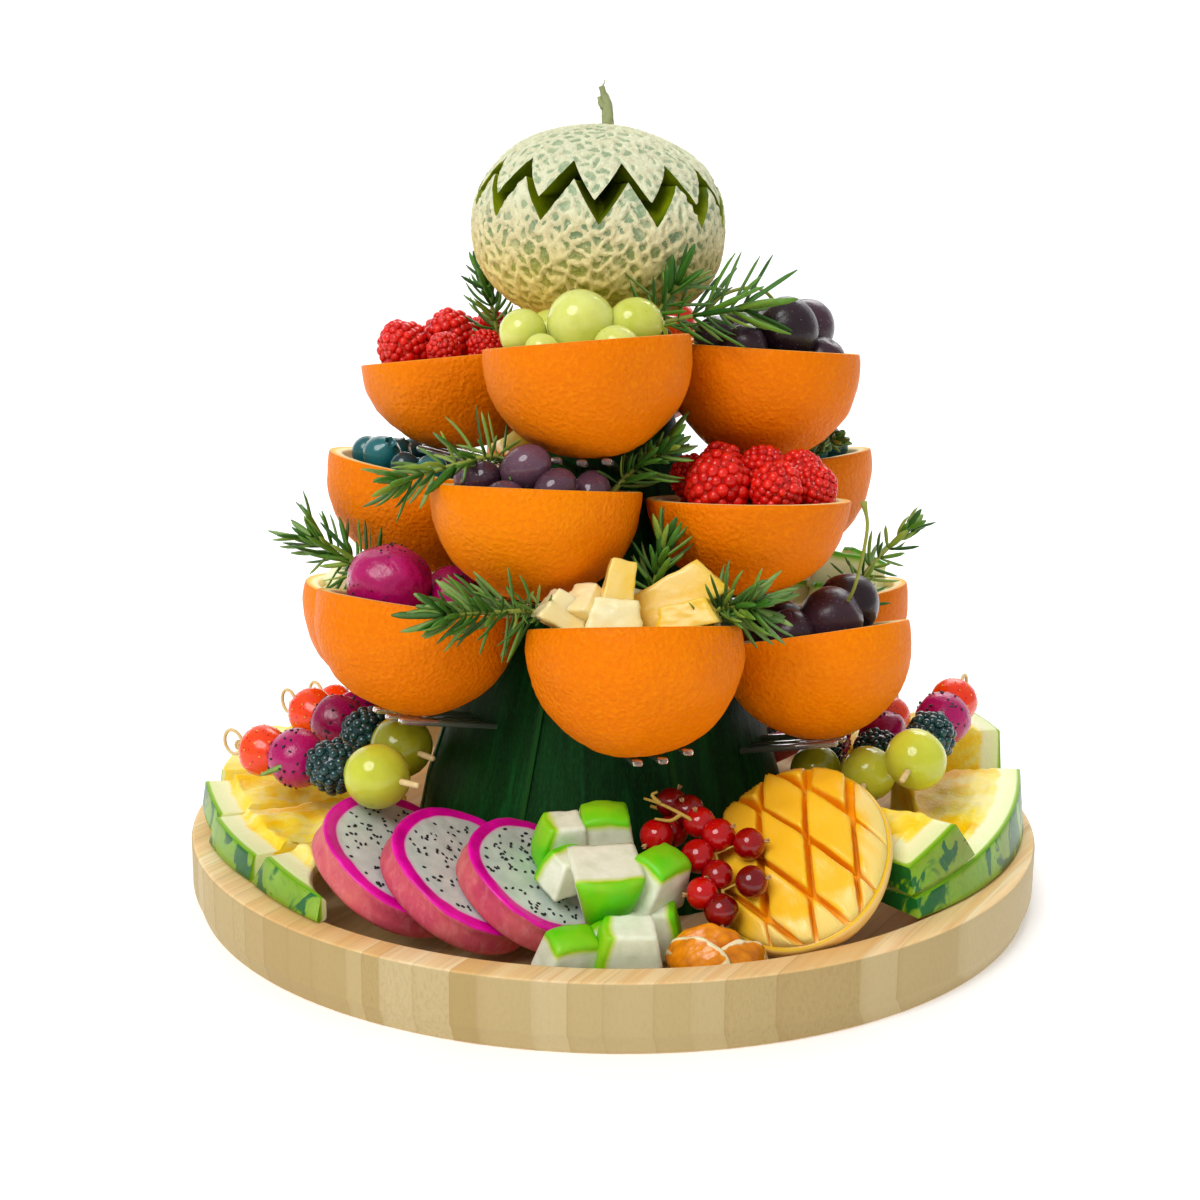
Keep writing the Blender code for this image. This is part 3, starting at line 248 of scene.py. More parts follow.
# Along a pick, from the grape's centre: the bramble, the ball of dragon fruit and the strawberry
PICK_SPOTS = (23.5, 44.5, 63.5)
PICK_FINISHES = ("pick", "pick_grape", "bramble", "dragon_ball", "seed", "strawberry", "achene", "rosemary")
PICK_RADIUS = 1.3
PICK_TIP = 22.0
PICK_TAIL = 78.0
KNOT_RADIUS = 5.5

# Mango cheeks: centre of the cut face, its normal and its long axis
MANGOES = {
    "mango_front": ((69.0, -111.0, 48.0), (-0.35, -0.49, 0.80), (-0.03, -0.857, -0.514)),
    "mango_back": ((-64.0, 112.0, 48.0), (0.35, 0.49, 0.80), (0.03, 0.857, -0.514)),
}
MANGO_HALF = (42.0, 36.0, 21.0)
MANGO_STEPS = 96
MANGO_CROWN = 5.0
# Scored blocks: length along the fruit, width across it, run-down of the slanting cuts over that width
BLOCK_LONG, BLOCK_WIDE, BLOCK_SHEAR = 24.0, 17.0, 18.0
BLOCK_ORIGIN = (2.0, -2.4)
BLOCK_GAP = 0.4
BLOCK_HEIGHT = 12.0
BLOCK_LEAN = 0.008
BLOCK_LIMIT = 0.975
BLOCK_FULL_LIMIT = 1.42
# The side of the cheek where the flesh is palest, in its own frame
MANGO_PALE_SIDE = np.array((0.55, 0.83, 0.0))

# Guava chunks: centre, three sizes, turn and, where it is not the usual, how much wider the top is
GUAVA = [((-20, -110, 54), (19, 16, 18), 0.3), ((-4, -105, 56), (23, 18, 17), 0.1),
         ((-18, -125, 48), (17, 14, 14), 0.7), ((-4, -134, 43), (12, 11, 25), 0.2, 2.1),
         ((15, -129, 46), (24, 18, 20), 0.9), ((-16, -153, 26), (22, 16, 18), 0.4),
         ((5, -152, 29), (24, 17, 19), 0.1), ((12, -131, 29), (24, 20, 19), 0.1),
         ((-4, -145, 27), (17, 14, 14), 0.8)]
GUAVA_BACK = [((-17, 132, 25), (26, 22, 21), 0.4), ((-1, 142, 24), (22, 19, 18), 1.0),
              ((-7, 120, 26), (26, 22, 21), 0.2), ((-13, 138, 42), (20, 17, 16), 0.8),
              ((-2, 126, 44), (20, 17, 16), 0.3), ((-21, 122, 41), (18, 15, 14), 1.2)]
CHUNK_TAPER = 0.72
# Half of a chunk's size, and a little more for its rounded edges
CHUNK_HALF = 0.525
# The side of each chunk that carries skin: axis and direction
GUAVA_SKINS = [(0, -1), (2, 1), (1, 1), (1, -1), (2, 1), (2, 1), (0, -1), (0, 1), (1, 1)]

# Peeled orange segments: centre, heading
SEGMENTS = [((33, -144, 22), 0.2), ((30, -153, 24), 2.6), ((44, -151, 22), 0.5), ((34, -145, 26), 0.0)]
SEGMENT_SIZE = (13.0, 6.5, 9.0)

# Red currants: centre of each berry
CURRANTS = [(22, -90, 62), (22, -97, 53), (16, -105, 54), (28, -99, 62), (32, -106, 60), (39, -112, 57),
            (31, -118, 51), (50, -118, 56), (38, -125, 46), (32, -132, 42), (50, -133, 47), (39, -136, 37)]
CURRANT_RADIUS = 6.5
# The stem's end lies forked across the upper berries
CURRANT_BRANCHES = [
    [(36, -111, 57), (31, -110.5, 61), (25, -108, 64), (17, -105, 67), (11, -102, 68)],
    [(25, -108, 64), (21, -107, 61), (15, -106.5, 61.5)], [(17, -105, 67), (14, -104, 70), (16, -103, 71)],
]
CURRANT_STEM = [(14, -88, 60), (27, -96, 58), (36, -111, 54), (39, -124, 46), (40, -133, 40)]


# ---------------------------------------------------------------- shapes

def unit(vector):
    vector = np.asarray(vector, float)
    return vector / np.linalg.norm(vector)


def field(points, size, seed):
    """Smooth random heights between about -1 and 1, with features of the given size."""
    dice = np.random.default_rng(seed)
    heading = dice.normal(size=(WAVES, 3))
    heading /= np.linalg.norm(heading, axis=1)[:, None]
    heading *= 2 * math.pi / size * dice.uniform(0.5, 1.5, (WAVES, 1))
    phase = dice.uniform(0, 2 * math.pi, WAVES)
    return np.sin(np.asarray(points) @ heading.T + phase).sum(1) / math.sqrt(WAVES)


def seed_of(name):
    """A number from the letters of a name."""
    return sum(map(ord, name))


def facing(normal, spin=0.0):
    """Columns: across, deep and the normal."""
    normal = unit(normal)
    across = unit((normal[2], 0.0, -normal[0])) if abs(normal[1]) < 0.99 else np.array((1.0, 0.0, 0.0))
    deep = np.cross(normal, across)
    c, s = math.cos(spin), math.sin(spin)
    return np.array((across * c + deep * s, deep * c - across * s, normal)).T


def random_turn(dice):
    """A random rotation matrix."""
    w, x, y, z = unit(dice.normal(size=4))
    return np.array(((1 - 2 * (y * y + z * z), 2 * (x * y - z * w), 2 * (x * z + y * w)),
                     (2 * (x * y + z * w), 1 - 2 * (x * x + z * z), 2 * (y * z - x * w)),
                     (2 * (x * z - y * w), 2 * (y * z + x * w), 1 - 2 * (x * x + y * y))))


def about_z(turn):
    c, s = math.cos(turn), math.sin(turn)
    return np.array(((c, -s, 0.0), (s, c, 0.0), (0.0, 0.0, 1.0)))


def about_x(turn):
    c, s = math.cos(turn), math.sin(turn)
    return np.array(((1.0, 0.0, 0.0), (0.0, c, -s), (0.0, s, c)))


def about_y(turn):
    c, s = math.cos(turn), math.sin(turn)
    return np.array(((c, 0.0, s), (0.0, 1.0, 0.0), (-s, 0.0, c)))


def placed(points, origin=(0, 0, 0), turn=None, size=1.0):
    points = np.asarray(points, float) * size
    if turn is not None:
        points = points @ np.asarray(turn).T
    return points + np.asarray(origin, float)


def grid_faces(rows, columns, closed=True):
    """Quads between rows of points; closed joins the last column to the first."""
    faces = []
    for j in range(rows - 1):
        for i in range(columns if closed else columns - 1):
            k = (i + 1) % columns
            faces.append((j * columns + i, j * columns + k, (j + 1) * columns + k, (j + 1) * columns + i))
    return faces


def rings_form(rings, low_cap=True, high_cap=True):
    """Closed body through rings of points, lowest first, each counter-clockwise seen from above."""
    count = len(rings[0])
    points = np.concatenate([np.asarray(ring, float) for ring in rings])
    faces = grid_faces(len(rings), count)
    extra = []
    if low_cap:
        middle = len(points) + len(extra)
        extra.append(np.mean(rings[0], axis=0))
        faces += [((i + 1) % count, i, middle) for i in range(count)]
    if high_cap:
        middle = len(points) + len(extra)
        start = len(points) - count
        extra.append(np.mean(rings[-1], axis=0))
        faces += [(start + i, start + (i + 1) % count, middle) for i in range(count)]
    if extra:
        points = np.concatenate([points, np.array(extra)])
    return points, faces


def lathe(profile, steps):
    """Turned body; the profile runs from the axis below, outwards and up, to the axis above."""
    turns = np.linspace(0, 2 * math.pi, steps, endpoint=False)
    rings = [np.stack((r * np.cos(turns), r * np.sin(turns), np.full(steps, float(z))), 1)
             for r, z in profile if r > 1e-6]
    points, faces = rings_form(rings)
    if profile[0][0] <= 1e-6:
        points[-2] = (0, 0, profile[0][1])
    if profile[-1][0] <= 1e-6:
        points[-1] = (0, 0, profile[-1][1])
    return points, faces


def globe(steps, rows):
    """Unit ball with its poles on the Z axis."""
    angles = [-math.pi / 2 + math.pi * j / rows for j in range(rows + 1)]
    profile = [(max(math.cos(a), 0.0) if 0 < j < rows else 0.0, math.sin(a)) for j, a in enumerate(angles)]
    return lathe(profile, steps)


def tube(points, radii, sides=8):
    """Round rod along points, closed at both ends."""
    points = np.asarray(points, float)
    radii = np.broadcast_to(radii, len(points))
    runs = np.gradient(points, axis=0)
    side = unit(np.cross(runs[0], (0.31, 0.22, 0.92)))
    turns = np.linspace(0, 2 * math.pi, sides, endpoint=False)
    rings = []
    for spot, run, radius in zip(points, runs, radii):
        run = unit(run)
        side = unit(side - run * side.dot(run))
        lift = np.cross(run, side)
        rings.append(spot + radius * (np.outer(np.cos(turns), side) + np.outer(np.sin(turns), lift)))
    return rings_form(rings)


def smooth_line(points, count):
    """Points evenly along a smooth curve through the given ones."""
    points = np.asarray(points, float)
    lengths = np.concatenate(([0], np.cumsum(np.linalg.norm(np.diff(points, axis=0), axis=1))))
    ends = np.concatenate(([2 * points[0] - points[1]], points, [2 * points[-1] - points[-2]]))
    line = []
    for spot in np.linspace(0, lengths[-1], count):
        i = min(int(np.searchsorted(lengths, spot, "right")) - 1, len(points) - 2)
        t = (spot - lengths[i]) / max(lengths[i + 1] - lengths[i], 1e-9)
        a, b, c, d = ends[i:i + 4]
        bend, twist = 2 * a - 5 * b + 4 * c - d, 3 * b - a - 3 * c + d
        line.append(0.5 * (2 * b + (c - a) * t + bend * t ** 2 + twist * t ** 3))
    return np.array(line)


def slab(cuts, roundness):
    """Box of half size 1 with rounded edges, sharper with more roundness; cuts squares along each edge."""
    points, faces, seen = [], [], {}
    line = np.linspace(-1, 1, cuts + 1)
    for axis in range(3):
        for end in (-1, 1):
            spots = []
            for u in line:
                for v in line:
                    spot = [0.0, 0.0, 0.0]
                    spot[axis], spot[(axis + 1) % 3], spot[(axis + 2) % 3] = end, u, v
                    key = tuple(round(s, 5) for s in spot)
                    if key not in seen:
                        seen[key] = len(points)
                        points.append(spot)
                    spots.append(seen[key])
            for i in range(cuts):
                for j in range(cuts):
                    a = i * (cuts + 1) + j
                    quad = (spots[a], spots[a + cuts + 1], spots[a + cuts + 2], spots[a + 1])
                    faces.append(quad if end > 0 else quad[::-1])
    points = np.array(points)
    length = (np.abs(points) ** roundness).sum(1) ** (1 / roundness)
    return points / length[:, None], faces


class Pile:
    """Shapes joined into one mesh, each with a material number and values at its points."""

    def __init__(self):
        self.points, self.faces, self.kinds, self.count = [], [], [], 0
        self.values = {"tint": [], "depth": []}

    def add(self, form, kind=0, tint=0.5, depth=0.0):
        points, faces = form
        self.points.append(points)
        self.faces += [tuple(i + self.count for i in face) for face in faces]
        self.kinds += list(kind) if hasattr(kind, "__len__") else [kind] * len(faces)
        for name, value in (("tint", tint), ("depth", depth)):
            self.values[name].append(np.broadcast_to(np.asarray(value, float), len(points)))
        self.count += len(points)

    def make(self, name, node, finishes):
        """The finished piece; it stands for the CAD node."""
        mesh = bpy.data.meshes.new(name)
        points = np.concatenate(self.points) * MM
        mesh.from_pydata(points.tolist(), [], self.faces)
        mesh.polygons.foreach_set("material_index", self.kinds)
        mesh.polygons.foreach_set("use_smooth", [True] * len(mesh.polygons))
        for key, parts in self.values.items():
            mesh.attributes.new(key, "FLOAT", "POINT").data.foreach_set("value", np.concatenate(parts))
        for finish in finishes:
            mesh.materials.append(finish)
        mesh.update()
        piece = bpy.data.objects.new(name, mesh)
        bpy.context.scene.collection.objects.link(piece)
        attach(piece, "root")
        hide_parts(node)


# ---------------------------------------------------------------- finishes

def linear(red, green, blue):
    """Colour of a picture turned into scene light."""
    return tuple(c / 12.92 if c <= 0.04045 else ((c + 0.055) / 1.055) ** 2.4 for c in (red, green, blue))


class Finish:
    """Short hand for building one node material; colours are given as they look in a picture."""

    def __init__(self, name, roughness, glow=(), coat=(), shine=0.5, others=None):
        """Glow is the weight, radius and scale of light passing through; coat is a weight and a roughness."""
        self.material = bpy.data.materials.new(name)
        self.material.use_nodes = True
        self.tree = self.material.node_tree
        self.shader = next(n for n in self.tree.nodes if n.type == "BSDF_PRINCIPLED")
        values = {"Roughness": roughness, "Specular IOR Level": shine, **(others or {})}
        values.update(zip(("Subsurface Weight", "Subsurface Radius", "Subsurface Scale"), glow))
        values.update(zip(("Coat Weight", "Coat Roughness"), coat))
        for key, value in values.items():
            self.shader.inputs[key].default_value = value

    def node(self, kind, inputs=None, **settings):
        """A new node; each of its inputs is another node's output or a value."""
        made = self.tree.nodes.new("ShaderNode" + kind)
        for key, value in settings.items():
            setattr(made, key, value)
        for key, value in (inputs or {}).items():
            if hasattr(value, "is_output"):
                self.tree.links.new(value, made.inputs[key])
            else:
                made.inputs[key].default_value = value
        return made

    def place(self):
        return self.node("TexCoord").outputs["Object"]

    def scaled(self, vector, scale):
        return self.node("Mapping", {"Vector": vector, "Scale": scale}).outputs[0]

    def height(self, vector):
        return self.node("SeparateXYZ", {"Vector": vector}).outputs["Z"]

    def value(self, name):
        return self.node("Attribute", attribute_name=name).outputs["Fac"]

    def noise(self, scale, detail=3.0, rough=0.5, vector=None, distortion=0.0):
        inputs = {"Vector": vector or self.place(), "Scale": scale, "Detail": detail, "Roughness": rough,
                  "Distortion": distortion}
        return self.node("TexNoise", inputs).outputs["Fac"]

    def cells(self, scale, feature="F1", vector=None):
        inputs = {"Vector": vector or self.place(), "Scale": scale}
        return self.node("TexVoronoi", inputs, feature=feature).outputs["Distance"]

    def random(self, number):
        """A random value for each whole number."""
        return self.node("TexWhiteNoise", {"W": number}, noise_dimensions="1D").outputs["Value"]

    def ramp(self, fac, *stops):
        """Colours or shares at stops along fac."""
        made = self.node("ValToRGB", {"Fac": fac})
        elements = made.color_ramp.elements
        while len(elements) < len(stops):
            elements.new(0.5)
        for element, (spot, colour) in zip(elements, stops):
            element.position = spot
            element.color = (*linear(*colour), 1.0) if isinstance(colour, tuple) else (*[colour] * 3, 1.0)
        return made.outputs["Color"]

    def mix(self, fac, *colours):
        """From the first colour to the second by fac."""
        first, second = ((*linear(*c), 1.0) if isinstance(c, tuple) else c for c in colours)
        return self.node("Mix", {0: fac, 6: first, 7: second}, data_type="RGBA").outputs[2]

    def over(self, base, colour, fac, *stops):
        """The base with a colour laid over it, by the share that the stops along fac give."""
        return self.mix(self.ramp(fac, *stops), base, colour)

    def sum(self, operation, a, b=0.0):
        return self.node("Math", {0: a, 1: b}, operation=operation).outputs[0]

    def total(self, *parts):
        """Outputs added up; a pair is an output and its share."""
        whole, *others = (self.sum("MULTIPLY", *part) if isinstance(part, tuple) else part for part in parts)
        for other in others:
            whole = self.sum("ADD", whole, other)
        return whole

    def colour(self, output):
        self.tree.links.new(output, self.shader.inputs["Base Color"])

    def rough(self, fac, low, high):
        """Roughness wanders between two values."""
        self.tree.links.new(self.ramp(fac, (0.3, low), (0.7, high)), self.shader.inputs["Roughness"])

    def bump(self, *heights):
        """Each height is an output, its strength and its distance in metres."""
        normal = None
        for output, strength, distance in heights:
            inputs = {"Height": output, "Strength": strength, "Distance": distance}
            if normal:
                inputs["Normal"] = normal
            normal = self.node("Bump", inputs).outputs[0]
        self.tree.links.new(normal, self.shader.inputs["Normal"])


def flesh(name, low, high, roughness, glow, scale=120.0, fleck=None, bump=0.25, coat=0.0,
          radius=(1.0, 0.6, 0.3), reach=0.004, pits=None):
    """Moist fruit flesh or skin: two tones by item and by noise, with light passing through."""
    finish = Finish(name, roughness, (glow, radius, reach), (coat, 0.10), 0.35)
    tone = finish.total((finish.noise(scale, 4.0, 0.6), 0.7), (finish.value("tint"), 0.5))
    base = finish.ramp(tone, (0.25, low), (0.85, high))
    if fleck:
        spread, size, colour = fleck
        base = finish.over(base, colour, finish.cells(spread), (size * 0.7, 1.0), (size, 0.0))
    finish.colour(base)
    finish.rough(finish.noise(scale * 2.5), max(roughness - 0.06, 0.03), roughness + 0.08)
    heights = [(finish.noise(scale * 4, 4.0, 0.6), bump, 0.0004)]
    if pits:
        heights.append((finish.cells(pits, "SMOOTH_F1"), 0.35, 0.0005))
    finish.bump(*heights)
    return finish.material


# Moist fruit by flesh(): name, two tones, roughness, share of light that passes through, then its options
FLESHES = {
    "grape": ("green_grape", (0.76, 0.79, 0.24), (0.93, 0.94, 0.58), 0.10, 0.7,
              dict(scale=90.0, fleck=(260.0, 0.05, (0.50, 0.48, 0.10)), bump=0.06, coat=0.25,
                   radius=(1.0, 0.9, 0.2), reach=0.007)),
    "pick_grape": ("olive_grape", (0.60, 0.62, 0.06), (0.80, 0.82, 0.26), 0.10, 0.6,
                   dict(scale=60.0, fleck=(240.0, 0.05, (0.42, 0.40, 0.08)), bump=0.06, coat=0.25,
                        radius=(1.0, 0.9, 0.2), reach=0.006)),
    "dark_grape": ("dark_grape", (0.18, 0.07, 0.12), (0.46, 0.33, 0.40), 0.10, 0.1,
                   dict(scale=50.0, fleck=(900.0, 0.16, (0.62, 0.42, 0.42)), bump=0.06, coat=0.25)),
    "cherry": ("dark_cherry", (0.10, 0.05, 0.08), (0.26, 0.16, 0.21), 0.30, 0.0,
               dict(scale=90.0, fleck=(560.0, 0.11, (0.66, 0.58, 0.66)), bump=0.7, coat=0.15)),
    "raspberry": ("raspberry", (0.76, 0.0, 0.01), (0.96, 0.13, 0.07), 0.24, 0.5,
                  dict(scale=90.0, bump=0.7, coat=0.3, radius=(1.0, 0.2, 0.12))),
    "bramble": ("bramble", (0.0, 0.10, 0.11), (0.06, 0.27, 0.27), 0.16, 0.0,
                dict(scale=200.0, bump=0.2, coat=0.6)),
    "blueberry": ("blueberry", (0.01, 0.17, 0.20), (0.12, 0.44, 0.46), 0.18, 0.0,
                  dict(scale=60.0, bump=0.3, coat=0.5)),
    "dragon_ball": ("dragon_ball", (0.44, 0.0, 0.17), (0.72, 0.02, 0.40), 0.24, 0.2,
                    dict(scale=90.0, bump=1.0, coat=0.2, radius=(1.0, 0.1, 0.4), reach=0.003, pits=330.0)),
    "strawberry": ("strawberry", (0.90, 0.12, 0.02), (1.0, 0.34, 0.06), 0.20, 0.3,
                   dict(scale=70.0, fleck=(420.0, 0.22, (0.78, 0.04, 0.02)), bump=0.4, coat=0.3,
                        radius=(1.0, 0.25, 0.1), reach=0.003)),
    "achene": ("strawberry_seed", (0.92, 0.60, 0.16), (1.0, 0.78, 0.30), 0.4, 0.0, {}),
    "leafling": ("berry_leaf", (0.16, 0.34, 0.08), (0.34, 0.54, 0.16), 0.5, 0.1, {}),
    "pineapple": ("pineapple_flesh", (0.95, 0.77, 0.10), (0.99, 0.97, 0.82), 0.30, 0.3,
                  dict(scale=55.0, bump=0.6, coat=0.1, radius=(1.0, 0.85, 0.3))),
    "seed": ("black_seed", (0.0507, 0.0702, 0.0861), (0.1284, 0.1517, 0.1718), 0.3, 0.0, {}),
    "mango_skin": ("mango_skin", (0.93, 0.72, 0.34), (1.0, 0.87, 0.58), 0.34, 0.2,
                   dict(scale=60.0, fleck=(500.0, 0.05, (0.90, 0.62, 0.22)), bump=0.15, coat=0.05,
                        radius=(1.0, 0.6, 0.2), reach=0.003)),
    "currant": ("red_currant", (0.34, 0.0, 0.02), (0.78, 0.01, 0.03), 0.06, 0.4,
                dict(scale=60.0, bump=0.04, coat=0.4, radius=(1.0, 0.1, 0.08))),
    "currant_stem": ("currant_stem", (0.60, 0.46, 0.14), (0.82, 0.68, 0.30), 0.5, 0.1, {}),
    "calyx": ("currant_calyx", (0.55, 0.36, 0.20), (0.82, 0.66, 0.44), 0.7, 0.0, {}),
    "stalk": ("green_stalk", (0.45, 0.50, 0.16), (0.62, 0.66, 0.28), 0.5, 0.1, dict(scale=200.0)),
    "dry_stem": ("dry_stem", (0.44, 0.48, 0.30), (0.72, 0.74, 0.54), 0.7, 0.0, dict(scale=150.0, bump=0.9)),
    "pick": ("bamboo_pick", (0.76, 0.62, 0.36), (0.93, 0.84, 0.62), 0.45, 0.05, dict(scale=300.0, bump=0.5)),
    "melon_flesh": ("melon_flesh", (0.26, 0.36, 0.02), (0.56, 0.61, 0.04), 0.30, 0.15,
                    dict(scale=60.0, bump=0.2, coat=0.1, radius=(0.8, 1.0, 0.2), reach=0.003)),
}
# Chunks by skinned(): name, two tones of pulp, the layer under the skin, two tones of skin
SKINNED = {
    "guava": ("guava_flesh", (0.86, 0.89, 0.76), (0.95, 0.96, 0.87), (0.74, 0.84, 0.22), (0.33, 0.80, 0.0),
              (0.58, 0.80, 0.10)),
    "apple": ("apple_flesh", (0.88, 0.92, 0.62), (0.97, 0.97, 0.82), (0.70, 0.85, 0.36), (0.28, 0.62, 0.03),
              (0.45, 0.78, 0.08)),
}


def make_finishes():
    """Every material by its key."""
    made = {key: flesh(*looks, **options) for key, (*looks, options) in FLESHES.items()}
    made.update({key: skinned(*looks) for key, looks in SKINNED.items()})
    made.update(peel=peel_finish(), pith=pith_finish(), prong=clear_plastic(), rosemary=rosemary_finish(),
                leaf=leaf_finish(), mango=mango_finish(), bamboo=bamboo_finish(), net=net_finish(),
                segment=segment_finish(), wedge=wedge_flesh(), wedge_rind=wedge_rind(),
                slice_flesh=slice_flesh(), slice_skin=slice_skin())
    return made


def peel_finish():
    """Orange skin with soft dimples and fine pores; the dimples carry painted shade in their hollows and a
    painted highlight on their tops.
    """
    finish = Finish("orange_peel", 0.44, (0.08, (1.0, 0.3, 0.05), 0.002), shine=0.07)
    tone = finish.total((finish.noise(22.0, 4.0, 0.6), 0.65), (finish.value("tint"), 0.4))
    base = finish.ramp(tone, (0.25, (0.90, 0.46, 0.0)), (0.55, (0.94, 0.49, 0.0)), (0.85, (0.97, 0.545, 0.0)))
    dimples = finish.noise(560.0, 2.0)
    # Painted shade in the hollows of the dimples, then a painted highlight on their tops
    base = finish.over(base, (0.88, 0.40, 0.0), dimples, (0.38, 0.18), (0.55, 0.0))
    finish.colour(finish.over(base, (1.0, 0.60, 0.02), dimples, (0.55, 0.0), (0.70, 0.25)))
    finish.rough(finish.noise(60.0), 0.36, 0.50)
    finish.bump((finish.cells(620.0, "SMOOTH_F1"), 0.4, 0.0007), (dimples, 0.6, 0.0012))
    return finish.material


def pith_finish():
    """Cut edge and hollow of an orange: depth runs from the peel over the rim and down the inside."""
    finish = Finish("orange_pith", 0.6, (0.3, (1.0, 0.8, 0.4), 0.002))
    base = finish.ramp(finish.value("depth"), (0.0, (1.0, 0.66, 0.06)), (0.30, (1.0, 0.82, 0.30)),
                       (0.5, (0.99, 0.93, 0.72)), (1.0, (0.98, 0.83, 0.50)))
    finish.colour(finish.over(base, (0.98, 0.80, 0.45), finish.noise(300.0, 5.0), (0.4, 0.0), (0.8, 0.5)))
    finish.bump((finish.noise(500.0, 5.0, 0.7), 0.6, 0.0006))
    return finish.material


def clear_plastic():
    finish = Finish("clear_prong", 0.10, others={"IOR": 1.46, "Transmission Weight": 0.86})
    finish.colour(finish.ramp(finish.noise(40.0), (0.3, (0.9453, 0.9547, 0.9547)), (0.7, (1.0, 1.0, 1.0))))
    finish.bump((finish.noise(160.0, 2.0), 0.15, 0.0006))
    return finish.material


def rosemary_finish():
    """Mid green above with paler edges and underside: depth says which side of the needle a point is on."""
    finish = Finish("rosemary", 0.42, (0.06, (0.4, 1.0, 0.2), 0.001), shine=0.3)
    upper = finish.ramp(finish.value("tint"), (0.0, (0.10, 0.30, 0.05)), (0.5, (0.20, 0.44, 0.08)),
                        (0.8, (0.34, 0.54, 0.10)), (1.0, (0.56, 0.64, 0.20)))
    under = finish.ramp(finish.value("tint"), (0.0, (0.34, 0.48, 0.24)), (1.0, (0.60, 0.72, 0.40)))
    base = finish.mix(finish.value("depth"), upper, under)
    finish.colour(finish.over(base, (0.20, 0.38, 0.08), finish.noise(400.0), (0.4, 0.0), (0.8, 0.3)))
    finish.bump((finish.noise(900.0, 2.0), 0.3, 0.0003))
    return finish.material


def leaf_finish():
    """Broad soft bands and fine parallel veins: depth counts across the leaf, tint tells the leaves apart."""
    finish = Finish("leaf_wrap", 0.42, shine=0.09)
    across, leaf = finish.value("depth"), finish.value("tint")
    height = finish.sum("MULTIPLY", finish.height(finish.place()), 1.2)
    spot = finish.node("CombineXYZ", {"X": across, "Y": height, "Z": leaf}).outputs[0]
    bands = finish.noise(9.0, 2.0, 0.5, spot)
    veins = finish.noise(70.0, 4.0, 0.6, spot)
    fine = finish.noise(300.0, 2.0, 0.5, spot)
    sheen = finish.noise(26.0, 3.0, 0.6, spot)
    base = finish.ramp(bands, (0.30, (0.01, 0.12, 0.04)), (0.50, (0.03, 0.20, 0.06)),
                       (0.72, (0.06, 0.28, 0.09)))
    base = finish.over(base, (0.02, 0.14, 0.05), veins, (0.45, 0.0), (0.75, 0.5))
    base = finish.over(base, (0.04, 0.24, 0.05), leaf, (0.0, 0.0), (1.0, 0.5))
    base = finish.over(base, (0.16, 0.38, 0.14), across, (0.0, 0.0), (0.965, 0.0), (0.99, 0.8))
    base = finish.over(base, (0.05, 0.34, 0.13), sheen, (0.50, 0.0), (0.72, 0.7))
    finish.colour(finish.over(base, (0.16, 0.44, 0.20), fine, (0.50, 0.0), (0.80, 0.40)))
    finish.rough(finish.noise(30.0), 0.34, 0.50)
    finish.bump((veins, 0.35, 0.0010), (fine, 0.3, 0.0005))
    return finish.material


def mango_finish():
    """Deep orange at the foot of each block and in the cuts as painted shade, paler on its soft top as
    painted light.
    """
    finish = Finish("mango_flesh", 0.26, (0.35, (1.0, 0.55, 0.1), 0.004), (0.1, 0.15), 0.3)
    pale = finish.value("tint")
    # Depth runs from a block's foot to its top: painted shade low down, painted light on top
    tone = finish.total(finish.value("depth"), (pale, 0.20), (finish.noise(60.0, 4.0, 0.6), 0.24))
    base = finish.ramp(tone, (0.20, (0.96, 0.58, 0.0)), (0.75, (1.0, 0.67, 0.0)), (1.02, (1.0, 0.72, 0.04)),
                       (1.18, (1.0, 0.77, 0.16)))
    base = finish.over(base, (0.98, 0.86, 0.50), pale, (0.14, 0.0), (0.85, 0.9))
    fibres = finish.noise(1.0, 5.0, 0.7, finish.scaled(finish.place(), (260.0, 90.0, 260.0)), 0.4)
    finish.colour(finish.over(base, (1.0, 0.80, 0.34), fibres, (0.50, 0.0), (0.78, 0.5)))
    finish.bump((fibres, 0.3, 0.0006), (finish.noise(500.0), 0.2, 0.0003))
    return finish.material


